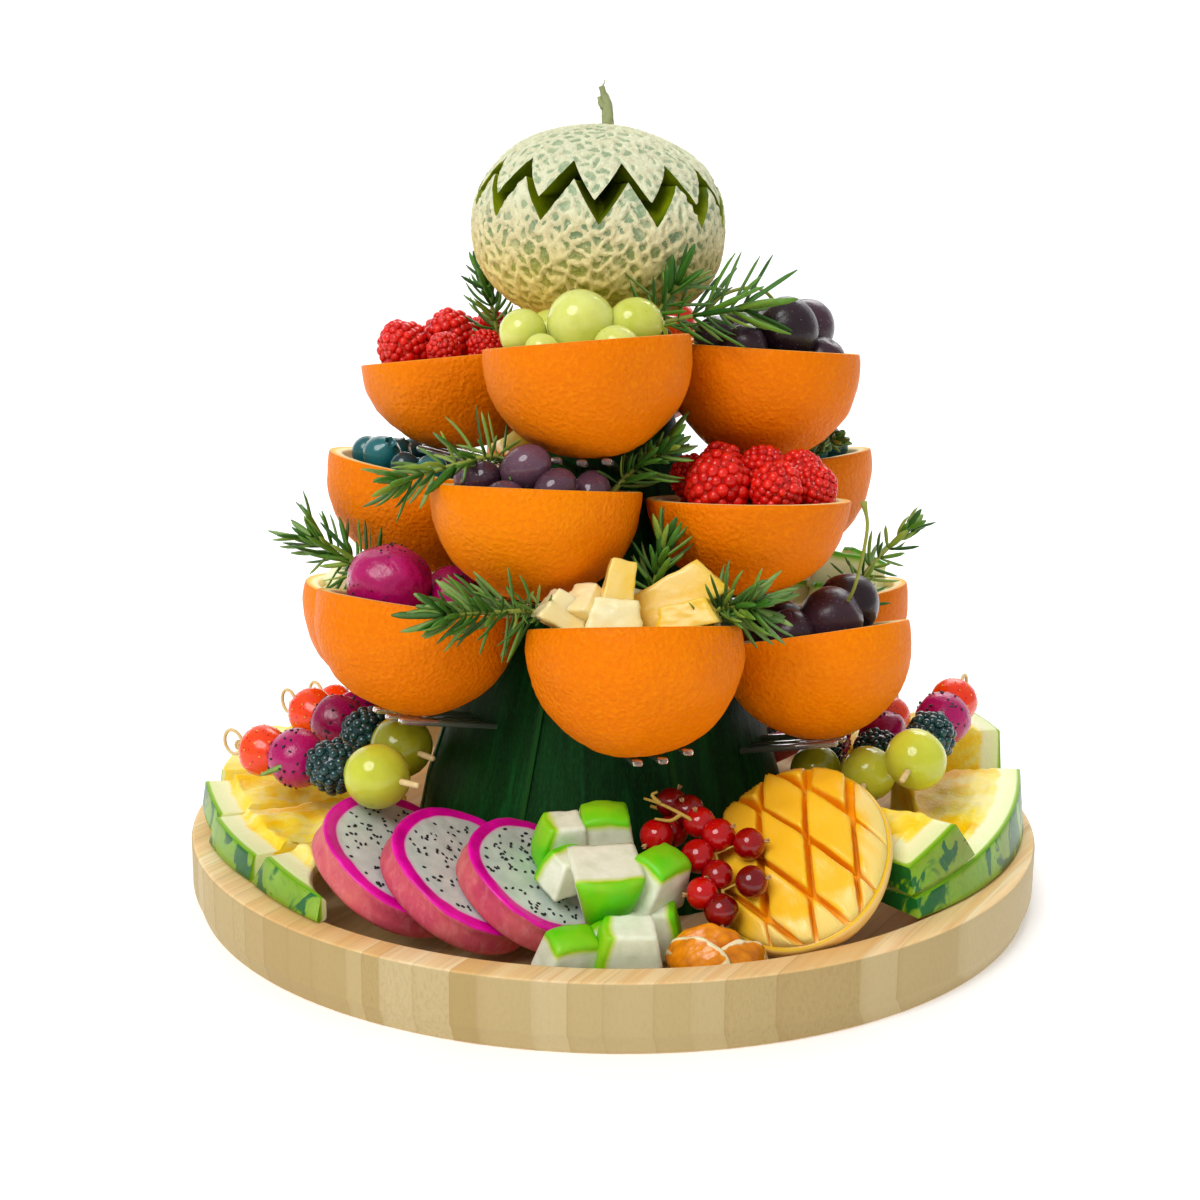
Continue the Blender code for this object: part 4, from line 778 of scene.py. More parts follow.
def bamboo_finish():
    """Strips glued side by side in slanting planes, with fibre dots where the wall shows their ends."""
    finish = Finish("bamboo", 0.55, (0.05, (1.0, 0.6, 0.3), 0.002), shine=0.25)
    turned = finish.node("Mapping", {"Vector": finish.place(), "Rotation": (0.0, 0.0, STRIP_TURN)}).outputs[0]
    across = finish.sum("MULTIPLY", finish.node("SeparateXYZ", {"Vector": turned}).outputs["X"], 80.0)
    uneven = finish.node("TexNoise", {"W": across, "Scale": 0.45, "Detail": 1.0}, noise_dimensions="1D")
    across = finish.total(across, (uneven.outputs["Fac"], 2.2))
    strip = finish.sum("FLOOR", across)
    shade, second = finish.random(strip), finish.random(finish.sum("ADD", strip, 57.3))
    seam = finish.ramp(finish.sum("FRACT", across), (0.0, 1.0), (0.05, 0.35), (0.22, 0.0))
    upright = finish.sum("ABSOLUTE", finish.height(finish.node("NewGeometry").outputs["Normal"]))
    flat = finish.ramp(upright, (0.55, 0.0), (0.8, 1.0))
    along = finish.noise(1.0, 5.0, 0.65, finish.scaled(turned, (300.0, 9.0, 300.0)))
    broad = finish.noise(1.0, 3.0, 0.5, finish.scaled(turned, (70.0, 6.0, 70.0)))
    dots = finish.noise(1.0, 4.0, 0.7, finish.scaled(turned, (900.0, 900.0, 420.0)))
    side = finish.ramp(shade, (0.0, (0.70, 0.60, 0.39)), (0.5, (0.74, 0.65, 0.45)), (1.0, (0.79, 0.71, 0.53)))
    stipple = finish.mix(finish.ramp(second, (0.5, 0.12), (0.8, 0.35)), (0.0, 0.0, 0.0),
                         finish.ramp(dots, (0.46, 0.0), (0.66, 1.0)))
    side = finish.mix(stipple, side, (0.62, 0.51, 0.31))
    top = finish.ramp(shade, (0.0, (0.90, 0.74, 0.48)), (0.5, (0.95, 0.83, 0.60)), (1.0, (0.98, 0.90, 0.72)))
    top = finish.over(top, (0.86, 0.63, 0.34), along, (0.42, 0.0), (0.70, 0.6))
    top = finish.over(top, (0.93, 0.72, 0.42), broad, (0.52, 0.0), (0.75, 0.5))
    base = finish.mix(flat, side, top)
    finish.colour(finish.mix(finish.sum("MULTIPLY", seam, 0.35), base, (0.64, 0.52, 0.32)))
    finish.rough(dots, 0.48, 0.62)
    finish.bump((finish.mix(flat, dots, along), 0.15, 0.0004), (seam, -0.12, 0.0003))
    return finish.material


def wedge_flesh():
    """Juicy yellow flesh beside a clear white band: depth runs from the rind inwards."""
    finish = Finish("wedge_flesh", 0.26, (0.3, (1.0, 0.8, 0.2), 0.003), shine=0.2)
    wander = finish.sum("MULTIPLY", finish.noise(80.0, 4.0, 0.6), 0.34)
    depth = finish.total(finish.value("depth"), finish.sum("SUBTRACT", wander, 0.17))
    juice = finish.ramp(finish.noise(42.0, 5.0, 0.62, None, 0.9), (0.28, (0.99, 0.75, 0.0)),
                        (0.41, (1.0, 0.82, 0.04)), (0.51, (0.99, 0.89, 0.28)), (0.64, (0.98, 0.93, 0.58)))
    band = finish.ramp(finish.value("depth"), (0.0, (0.36, 0.60, 0.04)), (0.07, (0.58, 0.74, 0.14)),
                       (0.13, (0.88, 0.93, 0.68)), (0.6, (0.95, 0.96, 0.76)), (1.0, (0.97, 0.94, 0.62)))
    finish.colour(finish.over(band, juice, depth, (0.60, 0.0), (0.72, 1.0)))
    finish.bump((finish.noise(150.0, 5.0, 0.7), 0.5, 0.0012), (finish.noise(900.0, 2.0), 0.3, 0.0004))
    return finish.material


def wedge_rind():
    """Bright green rind with dark patches."""
    finish = Finish("wedge_rind", 0.34, coat=(0.1, 0.2), shine=0.3)
    patches = finish.noise(1.0, 3.0, 0.55, finish.scaled(finish.place(), (62.0, 62.0, 34.0)), 1.4)
    tone = finish.noise(26.0, 2.0)
    mottle = finish.noise(260.0, 4.0, 0.7, None, 0.8)
    light = finish.ramp(tone, (0.35, (0.50, 0.56, 0.08)), (0.50, (0.48, 0.66, 0.04)),
                        (0.68, (0.62, 0.75, 0.26)))
    light = finish.over(light, (0.34, 0.55, 0.06), mottle, (0.46, 0.0), (0.66, 0.45))
    dark = finish.ramp(tone, (0.35, (0.05, 0.32, 0.12)), (0.60, (0.06, 0.40, 0.16)),
                       (0.75, (0.16, 0.48, 0.34)))
    dark = finish.over(dark, (0.12, 0.46, 0.10), mottle, (0.46, 0.0), (0.66, 0.5))
    finish.colour(finish.over(light, dark, patches, (0.50, 0.0), (0.545, 1.0)))
    finish.bump((finish.noise(220.0), 0.1, 0.0005))
    return finish.material


def net_finish():
    """Corky net over grey-green skin: depth is how high the net stands, tint how far down the melon."""
    finish = Finish("melon_rind", 0.75, (0.03, (0.8, 1.0, 0.5), 0.002), shine=0.2)
    low = finish.value("tint")
    worms = finish.sum("ABSOLUTE", finish.sum("SUBTRACT", finish.noise(230.0, 2.0, 0.5, None, 1.6), 0.5))
    curls = finish.ramp(worms, (0.0, 1.0), (0.07, 0.0))
    # Lower down, skin and net turn olive-yellow and lighter: partly the melon's own colour, partly painted
    # light that lifts the shaded underside
    skin = finish.ramp(low, (0.0, (0.60, 0.69, 0.54)), (0.25, (0.48, 0.58, 0.44)), (0.6, (0.60, 0.61, 0.24)),
                       (1.0, (0.74, 0.64, 0.06)))
    net = finish.ramp(low, (0.0, (0.91, 0.92, 0.78)), (0.3, (0.92, 0.88, 0.69)), (0.7, (0.95, 0.86, 0.52)),
                      (1.0, (0.96, 0.84, 0.30)))
    net = finish.over(net, (0.72, 0.60, 0.38), finish.noise(420.0, 5.0, 0.7), (0.45, 0.0), (0.75, 0.55))
    skin = finish.over(skin, net, finish.noise(110.0), (0.48, 0.0), (0.68, 0.4))
    raised = finish.ramp(finish.value("depth"), (0.16, 0.0), (0.36, 1.0))
    raised = finish.sum("MAXIMUM", raised, finish.sum("MULTIPLY", curls, 0.35))
    finish.colour(finish.mix(raised, skin, net))
    finish.bump((curls, 0.35, 0.0008), (finish.noise(900.0, 4.0, 0.7), 0.5, 0.0005))
    return finish.material


def slice_flesh():
    """Pale flesh inside a magenta ring; depth runs from the middle to the edge."""
    finish = Finish("slice_flesh", 0.30, (0.25, (1.0, 0.9, 0.9), 0.002), (0.1, 0.15), 0.3)
    depth = finish.value("depth")
    pale = finish.ramp(finish.noise(110.0, 4.0, 0.6), (0.3, (0.74, 0.80, 0.76)), (0.7, (0.86, 0.90, 0.86)))
    magenta = finish.ramp(finish.noise(90.0), (0.3, (0.82, 0.0, 0.56)), (0.7, (0.95, 0.03, 0.68)))
    base = finish.over(pale, (0.93, 0.60, 0.82), depth, (0.79, 0.0), (0.84, 0.35), (0.86, 0.0))
    finish.colour(finish.over(base, magenta, depth, (0.0, 0.0), (0.835, 0.0), (0.855, 1.0)))
    finish.bump((finish.noise(300.0, 4.0, 0.6), 0.35, 0.0006))
    return finish.material


def slice_skin():
    """Rose skin with paler upright veins."""
    finish = Finish("slice_skin", 0.48, (0.05, (1.0, 0.3, 0.4), 0.002), shine=0.25)
    base = finish.ramp(finish.noise(38.0, 4.0, 0.6), (0.3, (0.70, 0.16, 0.34)), (0.5, (0.80, 0.32, 0.38)),
                       (0.72, (0.86, 0.46, 0.42)))
    veins = finish.noise(1.0, 4.0, 0.7, finish.scaled(finish.place(), (260.0, 260.0, 120.0)), 0.6)
    finish.colour(finish.over(base, (0.90, 0.60, 0.58), veins, (0.48, 0.0), (0.72, 0.4)))
    finish.bump((finish.noise(160.0), 0.3, 0.0008), (veins, 0.25, 0.0006))
    return finish.material


def skinned(name, low, high, under, skin_low, skin_high):
    """Chunk with skin on one side: depth is the distance in from the skin, in millimetres over ten."""
    finish = Finish(name, 0.40, (0.12, (0.9, 1.0, 0.6), 0.002), (0.05, 0.25), 0.3)
    depth = finish.total(finish.value("depth"), (finish.noise(160.0), 0.06))
    pulp = finish.ramp(finish.noise(110.0, 5.0, 0.65), (0.3, low), (0.65, high))
    skin = finish.ramp(finish.noise(60.0), (0.3, skin_low), (0.7, skin_high))
    base = finish.mix(finish.ramp(depth, (0.24, 0.0), (0.46, 1.0)), under, pulp)
    finish.colour(finish.over(skin, base, depth, (0.18, 0.0), (0.26, 1.0)))
    finish.bump((finish.noise(260.0, 5.0, 0.65), 0.35, 0.0008))
    return finish.material


def segment_finish():
    """Orange pulp under thin membrane, which is cream where it is thick."""
    finish = Finish("orange_flesh", 0.22, (0.3, (1.0, 0.5, 0.05), 0.003), (0.25, 0.12), 0.3)
    sacs = finish.cells(240.0, "F1", finish.scaled(finish.place(), (1.0, 2.4, 1.0)))
    juice = finish.ramp(sacs, (0.0, (0.96, 0.62, 0.06)), (0.5, (0.90, 0.54, 0.0)), (0.9, (0.80, 0.46, 0.0)))
    patch = finish.total(finish.value("depth"), (finish.noise(220.0, 4.0, 0.65), 0.5))
    wall = finish.ramp(patch, (0.80, 0.0), (1.0, 1.0))
    finish.colour(finish.mix(wall, juice, (0.95, 0.90, 0.72)))
    finish.bump((sacs, 0.5, 0.0008), (wall, 0.4, 0.0006), (finish.noise(300.0), 0.3, 0.0004))
    return finish.material


# ---------------------------------------------------------------- where things may lie

class Cup:
    """One half orange: its frame, and where points lie against its rim."""

    def __init__(self, key):
        centre, self.radius, self.cut, lean = CUPS[key]
        self.key = key
        self.centre = np.array(centre)
        self.normal = np.array((*lean, math.sqrt(1 - lean[0] ** 2 - lean[1] ** 2)))
        self.turn = facing(self.normal)
        self.rim = math.sqrt(self.radius ** 2 - self.cut ** 2)
        self.mouth = self.rim - CUP_WALL
        self.top = self.centre + self.normal * self.cut

    def at(self, x, y, height):
        """A place over the rim's middle, along the rim's own directions."""
        return self.top + self.turn @ np.array((x, y, height), float)

    def holds(self, point, margin):
        """True inside the orange's outline, below its rim."""
        away = point - self.centre
        return away.dot(self.normal) < self.cut + margin and np.linalg.norm(away) < self.radius + margin


ALL_CUPS = {key: Cup(key) for key in CUPS}


def cone_radius(height):
    radii, heights = zip(*CONE_PROFILE)
    return float(np.interp(height, heights, radii))


def prong_lines(cup):
    """Start, end and underside direction of a cup's prongs."""
    out = unit((cup.centre[0] - CONE_AXIS_X, cup.centre[1], 0.0))
    side = np.array((-out[1], out[0], 0.0))
    along = out * math.cos(PRONG_RISE) + UP * math.sin(PRONG_RISE)
    down = out * math.sin(PRONG_RISE) - UP * math.cos(PRONG_RISE)
    reach = cup.radius + 0.5 + PRONG_HEIGHT / 2
    lines = []
    for step in (-1, 0, 1):
        offset = step * PRONG_SPREAD + PRONG_SHIFT.get(cup.key, 0.0)
        drop = math.sqrt(reach ** 2 - max(abs(offset) - PRONG_WIDTH / 2, 0.0) ** 2)
        middle = cup.centre + down * drop + side * offset
        back = 0.0
        while True:
            spot = middle - along * back
            if math.hypot(spot[0] - CONE_AXIS_X, spot[1]) < cone_radius(spot[2]) - 4.0:
                break
            back += 1.0
        lines.append((middle - along * back, middle + along * PRONG_REACH, down))
    return lines


ALL_PRONGS = [line for cup in ALL_CUPS.values() for line in prong_lines(cup)]
# Everything laid in a cup so far: the cup, its centre and its radius
LAID = []
# Room kept free round the cone's leaves, the melon's net and each prong's middle line
LEAF_ROOM, MELON_ROOM, PRONG_ROOM = 1.8, 0.8, 2.4
# Free room round each fruit in a cup, and places tried in each layer of its heap
FRUIT_GAP = 0.3
HEAP_TRIES = 70


def clear(point, reach, owner):
    """True where a ball of this reach keeps off the cone, melon, prongs, other cups and other heaps."""
    x, y, z = point
    from_axis = math.hypot(x - CONE_AXIS_X, y)
    if z < CONE_PROFILE[-1][1] + reach and from_axis < cone_radius(z) + LEAF_ROOM + reach:
        return False
    away = point - np.array(MELON_CENTRE)
    flat = math.hypot(away[0], away[1]) / (MELON_RADIUS + MELON_ROOM + reach)
    if math.hypot(flat, away[2] / (MELON_HALF_HEIGHT + MELON_ROOM + reach)) < 1.0:
        return False
    for start, end, _ in ALL_PRONGS:
        run = end - start
        share = min(max((point - start).dot(run) / run.dot(run), 0.0), 1.0)
        if np.linalg.norm(start + run * share - point) < PRONG_ROOM + reach:
            return False
    if any(cup.holds(point, reach) for cup in ALL_CUPS.values() if cup.key != owner):
        return False
    others = [(spot, radius) for key, spot, radius in LAID if key != owner]
    return all(np.linalg.norm(spot - point) >= radius + reach for spot, radius in others)


def settle(cup, x, y, height, radius):
    """Lower or shrink a fruit until it clears its neighbours; None when it can't."""
    for drop in range(11):
        for size in (1.0, 0.92, 0.85):
            centre = cup.at(x, y, height - drop)
            if clear(centre, radius * size + FRUIT_GAP, cup.key):
                return centre, radius * size
    return None


def heap_spots(cup, kind):
    """The listed fruit, then more of the same wherever the mouth still shows a gap."""
    spots = [settle(cup, *fruit) for fruit in FRUIT[cup.key]]
    spots = [spot for spot in spots if spot]
    radius = FILLER[kind]
    dice = np.random.default_rng(seed_of(cup.key))
    for layer in (1.0, -4.0, -9.0):
        for i in range(HEAP_TRIES):
            out = (cup.mouth - radius * 0.9) * math.sqrt((i + 0.5) / HEAP_TRIES)
            turn = i * GOLDEN
            size = radius * dice.uniform(0.88, 1.08)
            centre = cup.at(out * math.cos(turn), out * math.sin(turn), layer + dice.uniform(-1, 1))
            if any(np.linalg.norm(centre - spot) < (size + other) * 0.86 for spot, other in spots):
                continue
            if clear(centre, size + FRUIT_GAP, cup.key):
                spots.append((centre, size))
    LAID.extend((cup.key, centre, size) for centre, size in spots)
    return spots


# ---------------------------------------------------------------- single fruits

def spiral_point(i, count):
    """One of count points spread evenly over a unit ball."""
    z = 1 - 2 * (i + 0.5) / count
    flat = math.sqrt(1 - z * z)
    return np.array((flat * math.cos(i * GOLDEN), flat * math.sin(i * GOLDEN), z))


def lumpy(form, amount, size, seed):
    """The unit shape pushed in and out along its own directions."""
    points, faces = form
    return points * (1 + amount * field(points + seed * 0.37, size, seed))[:, None], faces


def add_drupes(pile, kind, centre, radius, turn, dice, stretch, bead, count):
    """Raspberry or bramble: beads in close rows over a blunt body."""
    body, faces = lumpy(globe(16, 12), 0.03, 1.5, 3)
    pile.add((placed(body * (0.87, 0.87, 0.87 * stretch), centre, turn, radius), faces), kind, 0.1)
    ball, faces = globe(7, 5)
    for i in range(count):
        way = spiral_point(i, count)
        spot = way * (0.84, 0.84, 0.84 * stretch) * (1 + 0.03 * dice.normal())
        spot = spot + dice.normal(scale=0.02, size=3)
        size = bead * dice.uniform(0.85, 1.15)
        points = placed(ball * (1.0, 1.0, 0.82), spot, facing(way), size)
        pile.add((placed(points, centre, turn, radius), faces), kind, dice.uniform(0.1, 1.0))


def berry_crown():
    """Blueberry: a ball with a small ragged crown round a pit."""
    angles = np.radians((-70, -50, -30, -10, 10, 30, 50, 64))
    profile = [(0, -0.97)] + [(math.cos(a), math.sin(a) * 0.97) for a in angles]
    profile += [(0.34, 0.98), (0.30, 1.06), (0.25, 0.97), (0.20, 0.86), (0.10, 0.82), (0, 0.82)]
    points, faces = lathe(profile, 20)
    turns = np.arctan2(points[:, 1], points[:, 0])
    rim = (points[:, 2] > 0.96) & (np.hypot(points[:, 0], points[:, 1]) < 0.36)
    points[rim, 2] += 0.06 * np.cos(5 * turns[rim])
    return points, faces


def stalk_dip():
    """Cherry: a ball with a dip where its stalk goes in."""
    points, faces = globe(24, 16)
    flat = np.hypot(points[:, 0], points[:, 1])
    points[:, 2] -= np.where(points[:, 2] > 0, np.exp(-(flat / 0.22) ** 2) * 0.22, 0.0)
    return points, faces


# One leaf of a strawberry's crown, on a berry of unit size
SEPAL = np.array([(0.0, -0.12, 0.86), (0.0, 0.12, 0.86), (0.34, 0.16, 0.93), (0.34, -0.16, 0.93),
                  (0.68, 0.0, 0.80), (0.34, 0.0, 0.96)])
SEPAL_FACES = [(0, 3, 5, 1), (1, 5, 2), (3, 4, 5), (5, 4, 2)]


def berry_reach(angle):
    """How far a strawberry reaches out and up at an angle above its widest line."""
    rise = math.sin(angle)
    return math.cos(angle) * (1 + 0.22 * rise) * 0.95, rise * (1.15 if angle < 0 else 0.85)


def strawberry_form(steps=22, rows=16, seeds=46):
    """Blunt cone; achenes sit in small pits, so the pits come back as well."""
    profile = [berry_reach(a) for a in np.linspace(-math.pi / 2, math.pi / 2, rows + 1)]
    profile[0], profile[-1] = (0.0, profile[0][1]), (0.0, profile[-1][1])
    points, faces = lathe(profile, steps)
    pits = []
    for i in range(seeds):
        reach, height = berry_reach(math.asin(spiral_point(i, seeds)[2]))
        pits.append((reach * math.cos(i * GOLDEN), reach * math.sin(i * GOLDEN), height))
    pits = np.array(pits)
    near = np.linalg.norm(points[:, None] - pits[None], axis=2).min(1)
    points *= (1 - 0.05 * np.exp(-(near / 0.12) ** 2))[:, None]
    return points, faces, pits


def add_strawberry(pile, kinds, centre, radius, turn, dice, leaves=True):
    points, faces, pits = strawberry_form()
    pile.add((placed(points, centre, turn, radius), faces), kinds[0], dice.uniform(0.2, 0.9))
    seed, faces = globe(5, 3)
    for pit in pits:
        bits = placed(seed * (0.032, 0.032, 0.055), pit * 0.985)
        pile.add((placed(bits, centre, turn, radius), faces), kinds[1], dice.uniform())
    if leaves:
        for i in range(7):
            way = about_z(i * 2 * math.pi / 7 + dice.uniform(-0.2, 0.2))
            pile.add((placed(SEPAL @ way.T, centre, turn, radius), SEPAL_FACES), kinds[2], dice.uniform())


def add_seeds(pile, kind, centre, radius, turn, dice, count, size):
    """Black seeds pressed into the surface of a ball of dragon fruit."""
    seed, faces = globe(5, 3)
    for _ in range(count):
        way = unit(dice.normal(size=3))
        frame = facing(way, dice.uniform(0, math.pi))
        bits = placed(seed * (size * 0.62, size, size * 0.5), way * (radius * 1.005), frame)
        pile.add((placed(bits, centre, turn), faces), kind, dice.uniform())


def add_bed(pile, cup, outline, tint, depth=0.0):
    """The bed closes the gaps between the fruit; its top is given as shares of the mouth and heights."""
    foot = 1.0 - HOLLOW_DEPTH
    profile = [(0, foot), (cup.mouth * 0.66, foot)]
    profile += [(cup.mouth * share, height) for share, height in outline]
    points, faces = lathe(profile, 28)
    pile.add((placed(points, cup.top, cup.turn), faces), 0, tint, depth)


def add_berry(pile, form, centre, radius, turn, tint):
    pile.add((placed(form[0], centre, turn, radius), form[1]), 0, tint)


def fill_cup(cup, finishes):
    """One piece with all the fruit of one kind in this cup, over a bed that closes the gaps."""
    kind = KINDS[cup.key]
    pile = Pile()
    dice = np.random.default_rng(1000 + seed_of(cup.key))
    spots = heap_spots(cup, kind)
    add_bed(pile, cup, [(0.93, -4.5), (0.6, -3.5), (0, -3.0)], 0.1)
    ball, dipped, crowned = globe(24, 16), stalk_dip(), berry_crown()
    for centre, radius in spots:
        turn = random_turn(dice)
        tint = dice.uniform(0, 1)
        seed = int(dice.integers(1, 9999))
        if kind == "raspberry":
            add_drupes(pile, 0, centre, radius, turn, dice, 1.08, 0.20, 98)
        elif kind == "blueberry":
            add_berry(pile, lumpy(crowned, 0.012, 1.2, seed), centre, radius * 0.97, turn, tint)
        elif kind == "cherry":
            add_berry(pile, lumpy(dipped, 0.018, 1.6, seed), centre, radius, turn, tint)
        elif kind == "strawberry":
            add_strawberry(pile, (0, 1, 2), centre, radius * 0.92, turn, dice, dice.uniform() < 0.5)
        elif kind == "dragon_ball":
            form = lumpy(lumpy(globe(40, 26), 0.035, 1.2, seed), 0.012, 0.35, seed + 1)
            add_berry(pile, form, centre, radius, turn, tint)
            add_seeds(pile, 1, centre, radius * 0.99, turn, dice, int(radius ** 2 * 0.8), 0.75)
        else:
            points, faces = lumpy(ball, 0.012, 1.8, seed)
            stretched = points * ((0.95, 0.95, 1.03) if kind == "grape" else (0.90, 0.90, 1.08))
            add_berry(pile, (stretched, faces), centre, radius, turn, tint)
    used = [kind] + {"dragon_ball": ["seed"], "strawberry": ["achene", "leafling"]}.get(kind, [])
    pile.make("fruit_" + cup.key, "filling_" + cup.key, [finishes[key] for key in used])


def fill_with_chunks(cup, finishes):
    """Pineapple or apple pieces, cut with flat sides and soft edges."""
    name, slot = ("pineapple", "pineapple") if cup.key == "l0" else ("apple", "green_apple")
    pile = Pile()
    dice = np.random.default_rng(2000 + seed_of(cup.key))
    add_bed(pile, cup, [(0.95, -3.0), (0.6, -1.0), (0, 1.0)], 0.3, 1.0)
    for x, y, height, wide, deep, tall, spin, lean in CHUNKS[cup.key]:
        points, faces = slab(12, 30.0)
        points = points * (wide / 2, deep / 2, tall / 2)
        points[:, :2] *= (1 - 0.28 * (points[:, 2] / tall + 0.5))[:, None]
        depth = 1.0 if name == "pineapple" else (tall / 2 - points[:, 2]) / 10
        rough = field(points * (1, 1, 2.2), 7.0, int(dice.integers(1, 9999))) * 0.25
        points = points * (1 + rough / np.maximum(np.linalg.norm(points, axis=1), 3.0))[:, None]
        spot = cup.at(x, y, height)
        LAID.append((cup.key, spot, max(wide, tall) * 0.45))
        turn = cup.turn @ about_z(spin) @ about_y(lean)
        pile.add((placed(points, spot, turn), faces), 0, dice.uniform(0, 1), depth)
    pile.make("fruit_" + cup.key, "filling_" + cup.key, [finishes[name]])


# ---------------------------------------------------------------- the tower

def make_tray(finishes):
    """Round tray on a slightly smaller foot; the edges of its rim are rounded."""
    inner = TRAY_RADIUS - RIM_WIDTH
    foot = TRAY_RADIUS - FOOT_SETBACK
    profile = [(0, 0), (foot * 0.5, 0), (foot - EDGE_RADIUS, 0), (foot - 0.3, 0.5), (foot, EDGE_RADIUS),
               (TRAY_RADIUS - 0.9, FOOT_HEIGHT - 1.2), (TRAY_RADIUS - 0.2, FOOT_HEIGHT),
               (TRAY_RADIUS, FOOT_HEIGHT + 1), (TRAY_RADIUS, TRAY_HEIGHT - EDGE_RADIUS)]
    middle = TRAY_HEIGHT - EDGE_RADIUS
    for a in np.radians((30, 60, 90)):
        profile.append((TRAY_RADIUS - EDGE_RADIUS * (1 - math.cos(a)), middle + EDGE_RADIUS * math.sin(a)))
    for a in np.radians((90, 60, 30, 0)):
        profile.append((inner + EDGE_RADIUS * (1 - math.cos(a)), middle + EDGE_RADIUS * math.sin(a)))
    profile += [(inner, TRAY_FLOOR + EDGE_RADIUS), (inner - EDGE_RADIUS, TRAY_FLOOR),
                (inner * 0.5, TRAY_FLOOR), (0, TRAY_FLOOR)]
    pile = Pile()
    pile.add(lathe(profile, 180))
    pile.make("bamboo_tray", "tray", [finishes["bamboo"]])


def leaf_form(index, slant, rows=40, columns=22):
    """One broad leaf wrapped round the cone; also how far across the leaf each point is."""
    start = index * 2 * math.pi / len(LEAVES) - 1.48
    outer, inner = [], []
    for share in np.linspace(0, 1, rows):
        z = CONE_PROFILE[0][1] + (CONE_PROFILE[-1][1] - CONE_PROFILE[0][1]) * share
        radius = cone_radius(z)
        for s in np.linspace(0, 1, columns):
            turn = start + slant * share + LEAF_TURN * s
            wave = 0.35 * math.sin(6 * s + 9 * share + index)
            reach = radius + 0.5 + 1.3 * s + wave * min(1.0, radius / 40)
            way = np.array((math.cos(turn), math.sin(turn), 0.0))
            outer.append(way * reach + (CONE_AXIS_X, 0.0, z))
            inner.append(outer[-1] - way * LEAF_THICKNESS)
    size = rows * columns
    faces = grid_faces(rows, columns, closed=False)
    faces += [tuple(i + size for i in face[::-1]) for face in faces]
    for j in range(rows - 1):
        for i, flip in ((0, True), (columns - 1, False)):
            a, b = j * columns + i, (j + 1) * columns + i
            quad = (a, a + size, b + size, b)
            faces.append(quad[::-1] if flip else quad)
    return np.array(outer + inner), faces, np.tile(np.linspace(0, 1, columns), 2 * rows)


def make_leaves(finishes):
    """Broad leaves wrapped up the cone, each lapping over the next."""
    pile = Pile()
    for index, (slant, shade) in enumerate(LEAVES):
        points, faces, across = leaf_form(index, slant)
        pile.add((points, faces), 0, shade, across)
    # The cone under the leaves closes the gaps at the top and the foot
    profile = [(0, CONE_PROFILE[0][1])] + [(r - 0.6, z) for r, z in CONE_PROFILE] + [(0, CONE_PROFILE[-1][1])]
    points, faces = lathe(profile, 40)
    pile.add((placed(points, (CONE_AXIS_X, 0, 0)), faces), 0, 0.2, 0.5)
    pile.make("leaf_wrap", "stand", [finishes["leaf"]])


def make_prongs(finishes):
    """Clear bars with rounded sides and ends."""
    pile = Pile()
    turns = np.linspace(0, 2 * math.pi, 12, endpoint=False)
    across, deep = (np.sign(way) * np.abs(way) ** 0.6 for way in (np.cos(turns), np.sin(turns)))
    for start, end, down in ALL_PRONGS:
        along = unit(end - start)
        side = np.cross(along, down)
        length = np.linalg.norm(end - start)
        rings = []
        for spot, size in ((0, 1.0), (length - 1.6, 1.0), (length - 0.6, 0.9), (length - 0.1, 0.62)):
            wide = np.outer(across * PRONG_WIDTH / 2 * size, side)
            rings.append(start + along * spot + wide - np.outer(deep * PRONG_HEIGHT / 2 * size, down))
        points, faces = rings_form(rings)
        pile.add((points, [face[::-1] for face in faces]), 0, 0.5)
    pile.make("clear_prongs", "stand", [finishes["prong"]])


def cup_profile(cup):
    """Half orange from its lowest point, over the soft rim and down into the hollow."""
    low, high = -math.pi / 2, math.asin(cup.cut / cup.radius)
    angles = [low + (high - low) * i / CUP_ROWS for i in range(1, CUP_ROWS)]
    profile = [(0, -cup.radius)] + [(cup.radius * math.cos(a), cup.radius * math.sin(a)) for a in angles]
    profile.append((cup.rim - 0.05, cup.cut - 0.5))
    profile += [(cup.rim - back, cup.cut - drop) for back, drop in CUP_EDGE]
    profile += [(cup.mouth + 0.3, cup.cut - 0.4), (cup.mouth, cup.cut - 1.2)]
    for share in (0.25, 0.5, 0.75, 0.9, 1.0):
        profile.append((cup.mouth * (1 - 0.30 * share ** 2), cup.cut - 1.2 - (HOLLOW_DEPTH - 1.2) * share))
    return profile + [(cup.mouth * 0.4, cup.cut - HOLLOW_DEPTH), (0, cup.cut - HOLLOW_DEPTH)]


